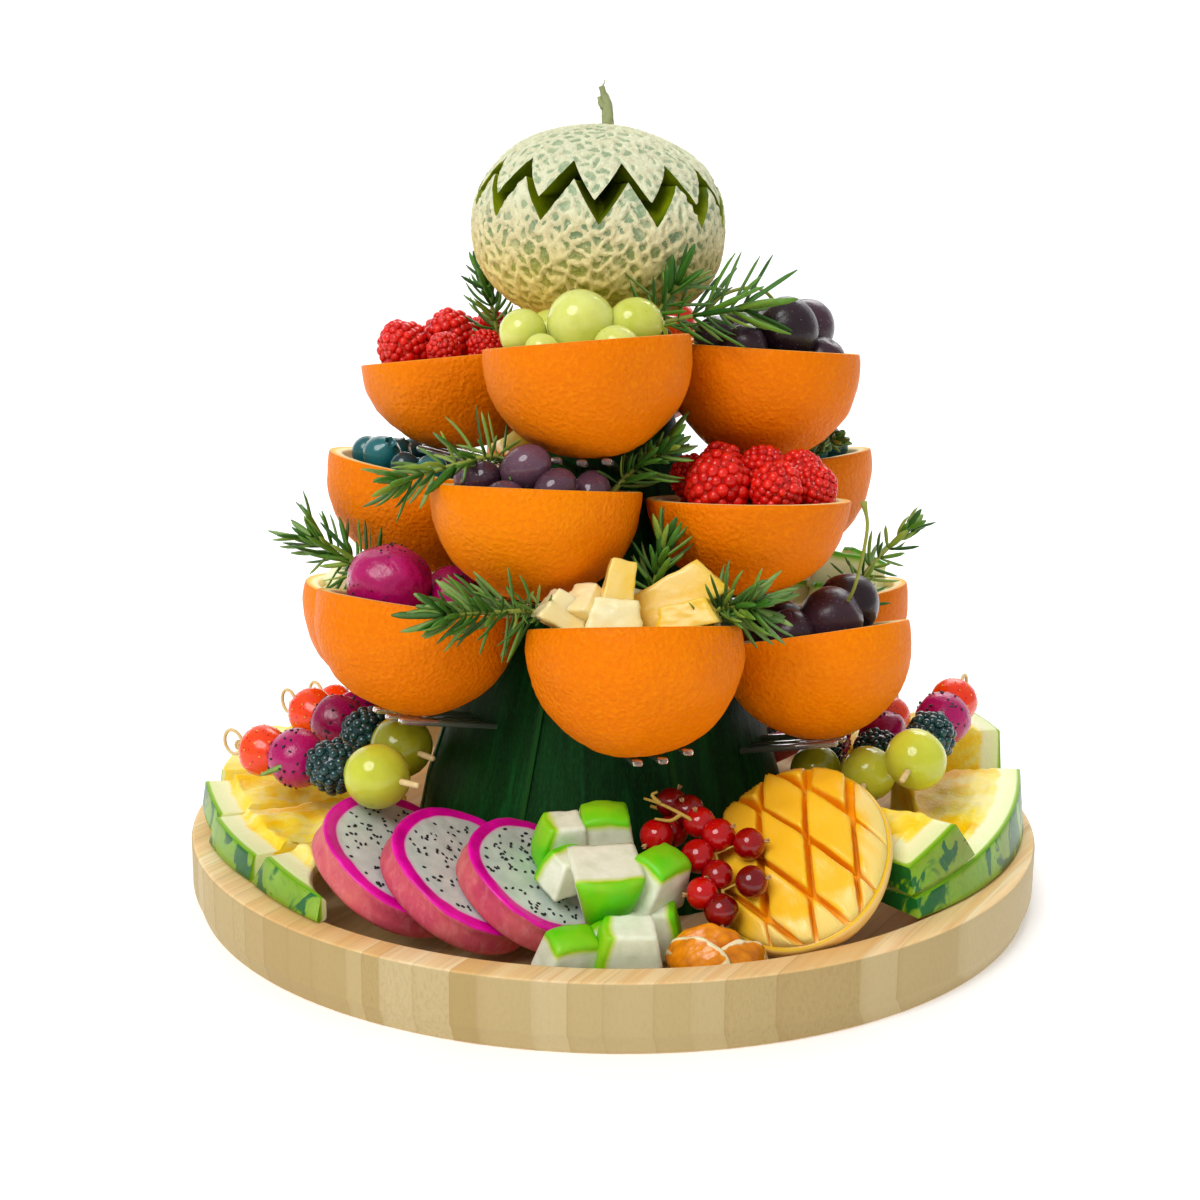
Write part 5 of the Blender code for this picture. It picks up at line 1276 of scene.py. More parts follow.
def make_cup(cup, finishes):
    """Half orange: uneven peel, thin pith at the rim and a scraped hollow."""
    dice = np.random.default_rng(300 + seed_of(cup.key))
    profile = cup_profile(cup)
    rings = len(profile) - 2
    points, faces = lathe(profile, CUP_STEPS)
    body = points[:rings * CUP_STEPS]
    skin = np.repeat(np.arange(rings), CUP_STEPS) < CUP_ROWS
    fade = np.where(skin, np.clip((cup.cut - body[:, 2]) / 10, 0, 1), 0.0)
    seed = int(dice.integers(1, 9999))
    lumps = field(body, 34.0, seed) * 0.55 + field(body, 9.0, seed + 1) * 0.12
    lumps += field(body, 3.2, seed + 2) * 0.07
    body *= (1 + (lumps * fade / cup.radius))[:, None]
    # A small star-shaped scar at the lowest point
    flat = np.hypot(body[:, 0], body[:, 1])
    star = np.exp(-(flat / 3.2) ** 2) * (1.0 + 0.3 * np.cos(5 * np.arctan2(body[:, 1], body[:, 0])))
    body[:, 2] += np.where(skin & (body[:, 2] < 0), star, 0.0) * 0.8
    edge = np.interp(np.arange(rings) - CUP_ROWS - 1, (0, 2, 6, 10), (0.1, 0.5, 0.7, 1.0))
    edge[:CUP_ROWS + 1] = 0.0
    edge = np.append(np.repeat(edge, CUP_STEPS), (0.0, 1.0))
    foot = len(points) - 2
    kinds = [0 if max(face) < CUP_STEPS * (CUP_ROWS + 1) or max(face) == foot else 1 for face in faces]
    pile = Pile()
    pile.add((placed(points, cup.centre, cup.turn), faces), kinds, dice.uniform(0, 1), edge)
    used = [finishes["peel"], finishes["pith"]]
    pile.make("orange_cup_" + cup.key, "cup_" + cup.key, used)


def needle_form(length, width, bend, segments=6):
    """A narrow blade with rolled edges and a blunt tip; its values tell the underside from the top."""
    section = np.array([(-0.5, 0.0), (-0.3, 0.22), (0.0, 0.26), (0.3, 0.22), (0.5, 0.0), (0.0, -0.12)])
    rings = []
    for j in range(segments + 1):
        s = j / segments
        reach = width * (0.5 + 0.5 * min(1, s * 3)) * (1 - max(0, (s - 0.7) / 0.3) ** 2 * 0.72)
        spot = np.array((0.0, bend * s * s, length * s))
        rings.append(spot + np.stack((section[:, 0] * reach, section[:, 1] * reach, np.zeros(6)), 1))
    points, faces = rings_form(rings)
    under = np.tile((0.45, 0.0, 0.15, 0.0, 0.45, 1.0), segments + 1)
    return points, faces, np.concatenate((under, (0.5, 0.0)))


def make_sprigs(finishes):
    """Every rosemary sprig of a cup as one piece."""
    for key in sorted({sprig[0] for sprig in SPRIGS}):
        cup = ALL_CUPS[key]
        dice = np.random.default_rng(500 + seed_of(key))
        pile = Pile()
        for owner, root, stem, whorls, length in SPRIGS:
            if owner == key:
                line = smooth_line([cup.at(*root)] + stem, 26)
                pile.add(tube(line, np.linspace(1.25, 0.6, len(line))), 1, dice.uniform(0, 1))
                add_needles(pile, line, whorls, length, dice, cup)
        used = [finishes["rosemary"], finishes["stalk"]]
        pile.make("rosemary_" + key, "filling_" + key, used)


def add_needles(pile, line, whorls, length, dice, cup):
    """Whorls of needles from a quarter along the stem to its tip; a needle shortens until it is clear."""
    start = len(line) // 4
    for row in range(whorls + 1):
        share = row / whorls
        at = start + (len(line) - 1 - start) * share
        i = min(int(at), len(line) - 2)
        base = line[i] + (line[i + 1] - line[i]) * (at - i)
        along = unit(line[i + 1] - line[i])
        side = unit(np.cross(along, (0.1, 0.2, 1.0)))
        lift = np.cross(side, along)
        ring = 5 if share < 0.85 else 7
        for k in range(ring):
            turn = 2 * math.pi * k / ring + row * 0.9 + dice.uniform(-0.3, 0.3)
            out = side * math.cos(turn) + lift * math.sin(turn)
            forward = 0.25 + 0.75 * share + dice.uniform(-0.3, 0.3)
            heading = unit(along * forward + out * (1.15 - 0.35 * share) + dice.normal(scale=0.16, size=3))
            reach = length * dice.uniform(0.65, 1.1) * (1.0 - 0.2 * share)
            for size in (1.0, 0.8, 0.6, 0.42):
                spots = [base + heading * reach * size * t for t in (0.35, 0.6, 0.8, 1.0)]
                if all(clear(spot, 0.9, cup.key) and not cup.holds(spot, 0.8) for spot in spots):
                    add_needle(pile, base + heading * 0.3, out, heading, reach * size, dice)
                    break


def add_needle(pile, base, out, heading, length, dice):
    points, faces, under = needle_form(length, dice.uniform(2.9, 3.9), dice.uniform(-5.0, 1.0))
    frame = np.array((np.cross(out, heading), unit(out - heading * out.dot(heading)), heading)).T
    pile.add((placed(points, base, frame), faces), 0, dice.uniform(0, 1), under)


def make_stalks(finishes):
    """Cherry stalks, thicker at the end that was picked."""
    for key, root, stalk in STALKS:
        line = smooth_line([ALL_CUPS[key].at(*root)] + stalk, 24)
        radii = np.full(len(line), 0.7)
        radii[-3:] = (0.8, 1.1, 1.4)
        pile = Pile()
        pile.add(tube(line, radii, 10))
        pile.make("cherry_stalk_" + key, "filling_" + key, [finishes["stalk"]])


# ---------------------------------------------------------------- the netted melon

def zigzag(turn, even, odd, shift):
    """Height of the cut at a turn: straight lines between the tips and the notches."""
    step = math.pi / TEETH
    s = np.mod((turn - shift + math.pi / 2) / step, 2.0)
    return np.where(s < 1, even + (odd - even) * s, odd + (even - odd) * (s - 1))


def net_height(points, seed, spacing, line):
    """How high the corky net stands at each point: ridges between scattered cells."""
    dice = np.random.default_rng(seed)
    count = int(4 * math.pi * MELON_RADIUS * MELON_HALF_HEIGHT / spacing ** 2)
    cells = np.array([spiral_point(i, count) for i in range(count)]) * MELON_SIZE
    cells += dice.normal(scale=spacing * 0.2, size=cells.shape)
    tree = kdtree.KDTree(count)
    for i, spot in enumerate(cells):
        tree.insert(spot, i)
    tree.balance()
    warp = np.stack([field(points, 9.0, seed + k) for k in (1, 2, 3)], 1) * 0.9
    warp += np.stack([field(points, 3.0, seed + k) for k in (4, 5, 6)], 1) * 0.3
    gaps = np.empty(len(points))
    for i, spot in enumerate(points + warp):
        (_, _, near), (_, _, far) = tree.find_n(spot, 2)
        gaps[i] = far - near
    width = line * (1 + 0.25 * field(points, 12.0, seed + 7))
    return np.clip(1 - gaps / np.maximum(width, 0.6), 0, 1)


def squash(height):
    """The lid is a little flatter than the rest above its zigzag edge."""
    return np.where(height > LID_NOTCH, LID_NOTCH + (height - LID_NOTCH) * LID_SQUASH, height)


def melon_rings(upper, steps, rows):
    """Rings of one half's skin, from its zigzag edge to its pole."""
    turns = np.linspace(0, 2 * math.pi, steps, endpoint=False)
    if upper:
        edge = zigzag(turns, LID_TIP, LID_NOTCH, LID_TURN)
    else:
        edge = zigzag(turns, BASE_NOTCH, BASE_TIP, 0.0)
    first = np.arcsin(edge / MELON_HALF_HEIGHT)
    last = math.pi / 2 * (0.985 if upper else -0.985)
    rings = []
    for j in range(rows + 1):
        angle = first + (last - first) * j / rows
        way = np.stack((np.cos(angle) * np.cos(turns), np.cos(angle) * np.sin(turns), np.sin(angle)), 1)
        rings.append(way * MELON_SIZE)
    return rings


def melon_skin(skin, upper, steps, ridge, relief):
    """The skin with its net raised; the lid is flatter than an ellipsoid, the lower half a little fuller."""
    away = skin / MELON_SIZE
    away = away / np.linalg.norm(away, axis=1)[:, None]
    fade = np.ones(len(skin))
    fade[:steps] = 0.3
    wave = field(skin, 45.0, 5) * 0.5 + field(skin, 2.2, 6) * 0.12
    if not upper:
        drop = np.clip(-skin[:, 2] / MELON_HALF_HEIGHT, 0, 1)
        wave += 16.0 * drop ** 2 * (1 - drop)
    pushed = skin + away * ((ridge - 0.35) * relief * fade + wave * fade)[:, None]
    if upper:
        pushed[:, 2] = squash(pushed[:, 2])
    return pushed


def cut_face(edge, upper):
    """The cut face of a half: a shallow bevel, then in towards the middle of the melon."""
    rings = []
    for share in (0.06, 0.15, 0.30, 0.5, 0.75):
        # The lower face rises a little near the middle, so no light passes through the gap
        shift = 0.25 if upper else 0.9 * min(share / 0.3, 1.0) - 0.25 + 5.0 * max(share - 0.3, 0.0)
        level = edge[:, 2] + (CUT_CENTRE - edge[:, 2]) * share + shift
        rings.append(np.column_stack((edge[:, :2] * (1 - share), level)))
    return rings


def make_melon(finishes):
    """Both halves of the melon, each with its net and its cut face."""
    tilt = about_y(MELON_TILT)
    for name, upper, steps, rows, seed, spacing, line, relief in MELON_HALVES:
        skin = np.concatenate(melon_rings(upper, steps, rows))
        height = net_height(skin, seed, spacing, line)
        height = np.maximum(height, 0.35 * net_height(skin, seed + 90, spacing * 0.62, line * 0.6))
        ridge = height * height * (3 - 2 * height)
        # How far down the melon: the net finish turns it olive-yellow there, partly painted light on the
        # shaded underside
        low = np.clip((10 - skin[:, 2]) / 46, 0, 1)
        shell = melon_skin(skin, upper, steps, ridge, relief).reshape(rows + 1, steps, 3)
        cut = [shell[0]] + cut_face(skin[:steps], upper)
        # Rings run upwards, so those of the lower half are turned round
        way = 1 if upper else -1
        ridge, low = (values.reshape(rows + 1, steps)[::way].ravel() for values in (ridge, low))
        pile = Pile()
        points, faces = rings_form(shell[::way], low_cap=not upper, high_cap=upper)
        points = placed(points, MELON_CENTRE, tilt)
        pile.add((points, faces), 0, np.append(low, 0.0 if upper else 1.0), np.append(ridge, 1.0))
        points, faces = rings_form(cut[::-way], low_cap=upper, high_cap=not upper)
        pile.add((placed(points, MELON_CENTRE, tilt), faces), 1, 0.5 + 0.3 * field(points, 14.0, 8))
        if upper:
            add_stem(pile, tilt)
        used = [finishes[key] for key in ("net", "melon_flesh", "dry_stem")]
        pile.make(name, "melon_lid" if upper else "melon_base", used)


def add_stem(pile, tilt):
    """Dry forked stem with a thin whisker."""
    top = float(squash(MELON_HALF_HEIGHT))
    main = smooth_line([(1.2, 0, top - 1.5), (1.0, 0, top + 4), (0.6, 0, top + 8), (-1.0, 0, top + 12.0),
                        (-2.2, 0, top + 15.2)], 20)
    radii = np.interp(np.linspace(0, 1, 20), (0, 0.12, 0.4, 0.55, 1), (3.4, 2.6, 2.3, 2.0, 1.0))
    fork = smooth_line([(-0.4, 0.3, top + 7), (-2.4, 0.4, top + 9.5), (-2.9, 0.2, top + 11.2)], 8)
    whisker = smooth_line([(-1.9, 0, top + 14.5), (-1.2, 0.2, top + 16.6), (-1.8, 0, top + 17.8)], 6)
    for line, size in ((main, radii), (fork, np.linspace(1.5, 0.7, 8)), (whisker, np.linspace(0.4, 0.2, 6))):
        points, faces = tube(line, size, 16)
        points = points + 0.28 * field(points * (1, 1, 0.3), 1.4, 9)[:, None] * np.array((1, 1, 0))
        pile.add((placed(points, MELON_CENTRE, tilt), faces), 2, 0.5)


# ---------------------------------------------------------------- cut fruit on the tray

def ring_point(azimuth, radius, height):
    """Azimuth in degrees from the front, positive to the right."""
    turn = math.radians(azimuth)
    return np.array((radius * math.sin(turn), -radius * math.cos(turn), height))


def wedge_section(outer, inner, bottom, rind, step):
    """Outline across a wedge, by side: underside, rind, white band, slope, flesh, inner edge."""
    top = outer - RIND_SETBACK
    white = top - WHITE_BAND
    level = bottom + rind
    if inner > white - 4:
        return [(inner, bottom), (outer, bottom), (top, level), (inner + 2.0, level),
                (inner + 1.0, level - 1), (inner, level - 2)]
    return [(inner, bottom + 2), (outer, bottom), (top, level), (white, level),
            (white - 2, level + step), (inner, level + step - 1)]


def fine_outline(section, corner=0.8):
    """The outline with soft corners and finer steps; also which side each point belongs to."""
    section = np.array(section, float)
    points, sides = [], []
    for i, steps in enumerate(SIDE_STEPS):
        a, b = section[i], section[(i + 1) % len(section)]
        length = np.linalg.norm(b - a)
        inset = min(corner, length * 0.3)
        for s in np.linspace(inset, length - inset, steps):
            points.append(a + (b - a) * s / length)
            sides.append(i)
    return np.array(points), sides


def wedge_body(name):
    """Outlines along a wedge from its front end, the side of each of their points and how deep it lies."""
    azimuths, outers, inners, bottoms, rinds, slant, step = WEDGES[name]
    rings, skins, lifts = [], [], []
    for j in range(WEDGE_ROWS + 1):
        share = j / WEDGE_ROWS
        azimuth, outer, bottom, rind = (a + (b - a) * share for a, b in (azimuths, outers, bottoms, rinds))
        inner = inners[0] + (inners[1] - inners[0]) * share ** 2
        outline, sides = fine_outline(wedge_section(outer, inner, bottom, rind, step))
        lean = slant * share / rind
        rings.append([ring_point(azimuth + lean * (z - bottom), radius, z) for radius, z in outline])
        skins.append(outer - RIND_SETBACK * np.clip((outline[:, 1] - bottom) / rind, 0, 1))
        lifts.append(outer - outline[:, 0])
    rings = np.array(rings)
    flat = rings.reshape(-1, 3)
    side = np.tile(sides, WEDGE_ROWS + 1)
    depth = np.clip((np.concatenate(skins) - np.hypot(flat[:, 0], flat[:, 1])) / WEDGE_DEPTH, 0, 1)
    if name in NO_WHITE:
        depth = np.where(side == 1, depth, 1.0)
    # Uneven flesh, and a small bevel where the top meets both ends
    seed = seed_of(name)
    juicy = np.isin(side, (4, 5)) & (np.concatenate(lifts) > WHITE_BAND + RIND_SETBACK)
    bumps = field(flat, 18.0, seed) + field(flat, 6.0, seed + 1) * 0.4
    flat[:, 2] += np.where(juicy, bumps - 0.7, 0.0)
    ends = np.repeat(np.abs(np.linspace(0, 1, WEDGE_ROWS + 1) - 0.5) * 2, len(sides))
    flat[:, 2] -= np.where(np.isin(side, (2, 3, 4)), np.clip(ends - 0.93, 0, 1) * 8, 0)
    if name in RIND_AT_FRONT:
        turned = np.arctan2(flat[:, 0], -flat[:, 1]) - math.radians(azimuths[0])
        behind = np.hypot(flat[:, 0], flat[:, 1]) * np.sin(turned)
        depth = np.minimum(depth, np.clip(behind / WEDGE_DEPTH + 0.04, 0, 1))
    return rings, sides, depth


def make_wedges(finishes):
    """Melon wedges lying along the rim of the tray."""
    for name in WEDGES:
        rings, sides, depth = wedge_body(name)
        count = len(sides)
        points, faces = rings_form(rings, low_cap=False, high_cap=False)
        spin = np.cross(rings[0][1] - rings[0][0], rings[1][0] - rings[0][0])
        outward = np.dot(spin, rings[0][0] - points.mean(axis=0)) > 0
        if not outward:
            faces = [face[::-1] for face in faces]
        kinds = [1 if sides[face[0] % count] == sides[face[1] % count] == 1 else 0 for face in faces]
        pile = Pile()
        pile.add((points, faces), kinds, 0.5, depth)
        front = 1 if name in RIND_AT_FRONT else 0
        add_end_face(pile, rings[0], outward, depth[:count], front, name in NO_WHITE)
        add_end_face(pile, rings[-1], not outward, depth[-count:], 0, name in NO_WHITE)
        pile.make(name + "_slice", name, [finishes["wedge"], finishes["wedge_rind"]])


def add_end_face(pile, ring, flip, depth, kind, all_flesh):
    """The end of a wedge, closed by shrinking its outline to the middle."""
    middle = ring.mean(axis=0)
    rings = [ring + (middle - ring) * share for share in (0.0, 0.08, 0.2, 0.35, 0.5, 0.7, 0.88)]
    points, faces = rings_form(rings, low_cap=False)
    if flip:
        faces = [face[::-1] for face in faces]
    skin_reach = np.hypot(ring[:, 0], ring[:, 1]).max() - 1.2
    deep = np.clip((skin_reach - np.hypot(points[:, 0], points[:, 1])) / WEDGE_DEPTH, 0, 1)
    if all_flesh:
        deep = np.ones(len(points))
    deep[:len(ring)] = depth
    pile.add((points, faces), kind, 0.5, deep)


def slice_reach(turn, size):
    """Radius of a slice at a turn: a little long one way, with one blunt corner."""
    corner = 1.0 + 0.07 * np.maximum(np.cos(turn - math.radians(200)), 0.0) ** 9
    return size * corner * (1.0 - 0.05 * np.cos(2 * turn))


def slice_rings(seed):
    """Rings from under a slice, up its skin and over its face: reach, level, depth and material number."""
    under = -SLICE_THICKNESS
    rings = [(share * 0.97, under, share, 0) for share in (0.35, 0.7, 0.85, 0.93)]
    rings += [(0.95, under + 0.2, 0.97, 1), (0.975, under + 1.2, 1.0, 1)]
    for level in (0.8, 0.6, 0.4, 0.2):
        rings.append((0.985 + 0.012 * math.sin(level * 9 + seed), under * level, 1.0, 1))
    rings += [(1.0, -0.8, 1.0, 1), (0.985, -0.15, 0.97, 0)]
    for share in (0.95, 0.9, 0.86, 0.82, 0.74, 0.6, 0.45, 0.3, 0.12):
        rings.append((share, 0.0 if share > 0.86 else -0.25, share, 0))
    return rings


def make_slices(finishes):
    """Round slices of dragon fruit in two rows, each leaning on the next."""
    turns = np.linspace(0, 2 * math.pi, SLICE_STEPS, endpoint=False)
    way = np.stack((np.cos(turns), np.sin(turns), np.zeros(SLICE_STEPS)), 1)
    for name, (centre, size) in SLICES.items():
        seed = seed_of(name)
        turn = facing(np.array(SLICE_NORMAL) * ((-1, -1, 1) if centre[1] > 0 else 1))
        outline = way * slice_reach(turns, size)[:, None]
        shares, levels, depths, kinds = zip(*slice_rings(seed))
        points, faces = rings_form([outline * share + UP * level for share, level in zip(shares, levels)])
        points[:, 2] += np.where(points[:, 2] > -1, field(points, 9.0, seed) * 0.18 - 0.1, 0.0)
        # A face between flesh and skin counts as flesh, and so do the caps
        corners = [(face[0], face[2]) if len(face) == 4 else (0,) for face in faces]
        face_kinds = [min(kinds[i // SLICE_STEPS] for i in pair) for pair in corners]
        depth = np.append(np.repeat(depths, SLICE_STEPS), (0.0, 0.0))
        pile = Pile()
        pile.add((placed(points, centre, turn), faces), face_kinds, 0.5, depth)
        add_slice_seeds(pile, centre, turn, size, np.random.default_rng(seed))
        used = [finishes[key] for key in ("slice_flesh", "slice_skin", "seed")]
        pile.make(name + "_piece", name, used)


def add_slice_seeds(pile, centre, turn, size, dice):
    """Black seeds over both faces of a slice."""
    seed, faces = globe(5, 3)
    for level in (-0.25, -SLICE_THICKNESS):
        for _ in range(SLICE_SEEDS):
            way = dice.uniform(0, 2 * math.pi)
            out = math.sqrt(dice.uniform(0.0, 1)) * 0.80 * slice_reach(way, size)
            spot = (math.cos(way) * out, math.sin(way) * out, level)
            frame = about_z(dice.uniform(0, math.pi))
            bits = placed(seed * (dice.uniform(0.52, 0.72), dice.uniform(0.85, 1.15), 0.38), spot, frame)
            pile.add((placed(bits, centre, turn), faces), 2, dice.uniform())


def make_picks(finishes):
    """Bamboo picks, each through a grape, a bramble, a ball of dragon fruit and a strawberry."""
    ball = globe(28, 18)
    for name, (grape, heading, size) in PICKS.items():
        seed = seed_of(name)
        dice = np.random.default_rng(seed)
        heading = unit(heading)
        frame = facing(heading)
        start = np.array(grape)
        bramble, dragon_ball, strawberry = (start + heading * along * size for along in PICK_SPOTS)
        tip, tail = start - heading * PICK_TIP * size, start + heading * PICK_TAIL * size
        line = [tip, tip + heading * 0.8, tip + heading * 6, start, tail]
        pile = Pile()
        pile.add(tube(line, (0.95, 1.2, PICK_RADIUS, PICK_RADIUS, PICK_RADIUS), 10), 0, 0.6)
        points, faces = lumpy(ball, 0.012, 1.6, seed)
        points = placed(points * (0.97, 0.97, 1.0), start, random_turn(dice), 13.2 * size)
        pile.add((points, faces), 1, dice.uniform())
        add_drupes(pile, 2, bramble, 11.2 * size, frame, dice, 1.05, 0.21, 84)
        points, faces = lumpy(ball, 0.035, 1.1, seed + 1)
        pile.add((placed(points, dragon_ball, frame, 12.0 * size), faces), 3, dice.uniform())
        add_seeds(pile, 4, dragon_ball, 12.0 * size, frame, dice, 80, 0.85)
        add_strawberry(pile, (5, 6, 6), strawberry, 11.0 * size, frame @ about_z(1.0), dice, False)
        add_knot(pile, tail, heading, frame)
        if name == "pick_left_1":
            # A loose rosemary needle lies on the ball of dragon fruit
            points, faces, under = needle_form(15.0, 2.3, 1.2)
            spot = start + heading * 30.0 + (-24.6, -1.2, -4.4)
            pile.add((placed(points, spot, facing((0.92, -0.1, 0.40))), faces), 7, 0.9, under)
        pile.make(name + "_fruit", name, [finishes[key] for key in PICK_FINISHES])


def add_knot(pile, tail, heading, frame):
    """The loop at the end of a pick, and the twist below it."""
    across, deep = frame[:, 0], frame[:, 1]
    middle = tail + heading * (KNOT_RADIUS - 1.0)
    rise = unit(UP - heading * heading[2])
    loop = [middle + KNOT_RADIUS * (math.sin(a) * rise - math.cos(a) * heading) + across * a * 0.25
            for a in np.linspace(-0.15, 1.85 * math.pi, 22)]
    pile.add(tube(loop, 0.75), 0, 0.5)
    twist = [tail + heading * (a * 0.5 - 1.2) + 1.5 * (math.cos(a * 2) * across + math.sin(a * 2) * deep)
             for a in np.linspace(0, 7, 20)]
    pile.add(tube(twist, 0.7), 0, 0.3)


def cheek_form(seed):
    """Half mango: smooth skin below, a low dome of flesh above, and each face's material number."""
    long_half, wide_half, deep_half = MANGO_HALF
    turns = np.linspace(0, 2 * math.pi, MANGO_STEPS, endpoint=False)
    outline = np.stack((long_half * np.cos(turns), wide_half * np.sin(turns), np.zeros(MANGO_STEPS)), 1)
    rows = [(math.sqrt(1 - level ** 2), deep_half * level) for level in np.linspace(-1, 0, 24)[1:]]
    skin_points = len(rows) * MANGO_STEPS
    rows += [(0.99, 1.0), (0.96, 1.5), (0.90, 2.0), (0.80, 2.6), (0.6, 3.6), (0.3, 4.6)]
    points, faces = rings_form([outline * share + UP * height for share, height in rows])
    points = points * (1 + 0.010 * field(points, 34.0, seed))[:, None]
    foot = len(points) - 2
    kinds = [0 if foot in face or (len(face) == 4 and face[0] < skin_points) else 1 for face in faces]
    return points, faces, kinds


def make_mangoes(finishes):
    """Scored half mangoes: long blocks lean apart on the turned-out cheek."""
    long_half, wide_half, _ = MANGO_HALF
    for name, (centre, normal, axis) in MANGOES.items():
        seed = seed_of(name)
        dice = np.random.default_rng(seed)
        up = unit(normal)
        along = unit(np.array(axis) - up * np.dot(axis, up))
        frame = np.array((along, np.cross(up, along), up)).T
        points, faces, kinds = cheek_form(seed)
        pale = np.clip((np.hypot(points[:, 0] / long_half, points[:, 1] / wide_half) - 0.93) / 0.05, 0, 1)
        pile = Pile()
        # The cheek's flesh lies in the cuts: its low depth gets painted shade, rising to paler towards its
        # rim
        pile.add((placed(points, centre, frame), faces), kinds, 0.1, 0.25 + 0.8 * pale)
        for i in range(-4, 5):
            for j in range(-2, 3):
                x = BLOCK_ORIGIN[0] + i * BLOCK_LONG + j * BLOCK_SHEAR
                y = BLOCK_ORIGIN[1] + j * BLOCK_WIDE
                edge = math.hypot((abs(x) + 5) / long_half, (abs(y) + 3) / wide_half)
                if edge <= BLOCK_FULL_LIMIT:
                    add_block(pile, centre, frame, (x, y), edge, dice, seed + i * 7 + j)
        pile.make(name + "_cheek", name, [finishes["mango_skin"], finishes["mango"]])


def add_block(pile, centre, frame, spot, edge, dice, seed):
    """One scored block; depth runs from its foot to its soft top, for the painted shade below and the painted
    light above. Blocks at the edge end at the skin.
    """
    block, quads = slab(10, 22.0)
    half = block / 2
    rise = half[:, 2] + 0.5
    whole = edge <= BLOCK_LIMIT
    size = (1.0 - (0.3 if whole else 0.0) * edge ** 4) * (1.03 - 0.06 * rise)
    x = (BLOCK_LONG - BLOCK_GAP) * half[:, 0] + (BLOCK_SHEAR - BLOCK_GAP) * half[:, 1]
    shape = np.stack((size * x, size * (BLOCK_WIDE - BLOCK_GAP) * half[:, 1], BLOCK_HEIGHT * half[:, 2]), 1)
    shape[:, 2] += np.where(rise > 0.6, 0.8 * field(shape, 22.0, seed), 0.0)
    shape += 0.12 * field(shape, 4.0, seed + 3)[:, None]
    turn = about_y(spot[0] * BLOCK_LEAN) @ about_x(-spot[1] * BLOCK_LEAN)
    shape = placed(shape, (*spot, MANGO_CROWN * max(1 - edge ** 2, -0.4) + 1.0), turn)
    out = np.hypot(shape[:, 0] / MANGO_HALF[0], shape[:, 1] / MANGO_HALF[1])
    kept = np.minimum(1.0, 0.965 / np.maximum(out, 1e-6))
    shape[:, :2] *= kept[:, None]
    sunk = np.clip((out - 0.72) / 0.28, 0, 1) ** 2 * (0.4 if whole else 1.0)
    shape[:, 2] *= np.where(rise > 0.4, 1 - 0.72 * sunk, 1.0)
    # Nothing reaches out below the cheek's own edge
    shape[:, 2] = np.where(out > 0.6, np.maximum(shape[:, 2], 0.2), shape[:, 2])
    if kept.mean() > 0.62:
        rim = np.clip((np.minimum(out, 0.98) - 0.70 + 0.10 * field(shape, 9.0, seed)) / 0.2, 0, 1)
        pale = rim * np.clip(shape @ MANGO_PALE_SIDE / 14.0, 0, 1) * np.clip(2 * rise - 0.6, 0, 1)
        tint = dice.uniform(0, 0.12) + 0.9 * pale
        pile.add((placed(shape, centre, frame), quads), 1, tint, np.clip(rise, 0, 1))


def make_chunks(name, node, chunks, finishes):
    """Guava pieces with flat cut sides and one side of bright skin."""
    pile = Pile()
    dice = np.random.default_rng(seed_of(name))
    for index, (centre, sizes, spin, *taper) in enumerate(chunks):
        points, faces = slab(12, 26.0)
        half = np.array(sizes) * CHUNK_HALF
        wider = (taper or [CHUNK_TAPER])[0]
        widening = 1 + (wider - 1) * (points[:, 2] * 0.5 + 0.5)
        axis, way = GUAVA_SKINS[index % len(GUAVA_SKINS)]
        # The skin side bulges like the fruit it was cut from
        others = [a for a in range(3) if a != axis]
        round_off = np.clip(1 - 0.5 * (points[:, others] ** 2).sum(1), 0, 1)
        bulge = np.clip(points[:, axis] * way, 0, 1) * (round_off - 0.35) * 3.0
        points = points * half
        points[:, axis] += way * bulge
        points[:, :2] *= widening[:, None]
        skin_level = half[axis] * (1.0 if axis == 2 else widening)
        depth = (skin_level - points[:, axis] * way + bulge * 0.9) / 10
        depth = depth + 0.03 * field(points, 9.0, 77 + index)
        points = points + 0.14 * field(points, 7.0, int(dice.integers(1, 9999)))[:, None]
        turn = about_z(spin) @ about_x(0.25 + spin * 0.2)
        pile.add((placed(points, centre, turn), faces), 0, dice.uniform(), depth)
    pile.make(name, node, [finishes["guava"]])


def make_segments(finishes):
    """Peeled orange segments under their membrane."""
    pile = Pile()
    for index, (centre, spin) in enumerate(SEGMENTS):
        points, faces = globe(36, 24)
        points = points * SEGMENT_SIZE
        points[:, 1] *= 1 - 0.35 * np.clip(points[:, 2] / SEGMENT_SIZE[2], 0, 1)
        # Membrane is thickest along the inner edge and at both ends; one segment shows its smooth side
        ridge = np.exp(-(points[:, 1] / 1.7) ** 2) * (points[:, 2] > 0)
        ends = np.clip(np.abs(points[:, 0]) / SEGMENT_SIZE[0] * 1.6 - 0.75, 0, 1)
        wall = np.clip(np.maximum(ridge, ends) + 0.22 * field(points, 3.5, 3 + index), 0, 1)
        if index == len(SEGMENTS) - 1:
            wall = wall * 0.25
        points = points * (1 + 0.035 * field(points, 6.0, 4))[:, None]
        points[:, 2] += 0.5 * wall
        pile.add((placed(points, centre, about_z(spin)), faces), 0, 0.5, wall)
    pile.make("orange_segments_peeled", "orange_segments", [finishes["segment"]])


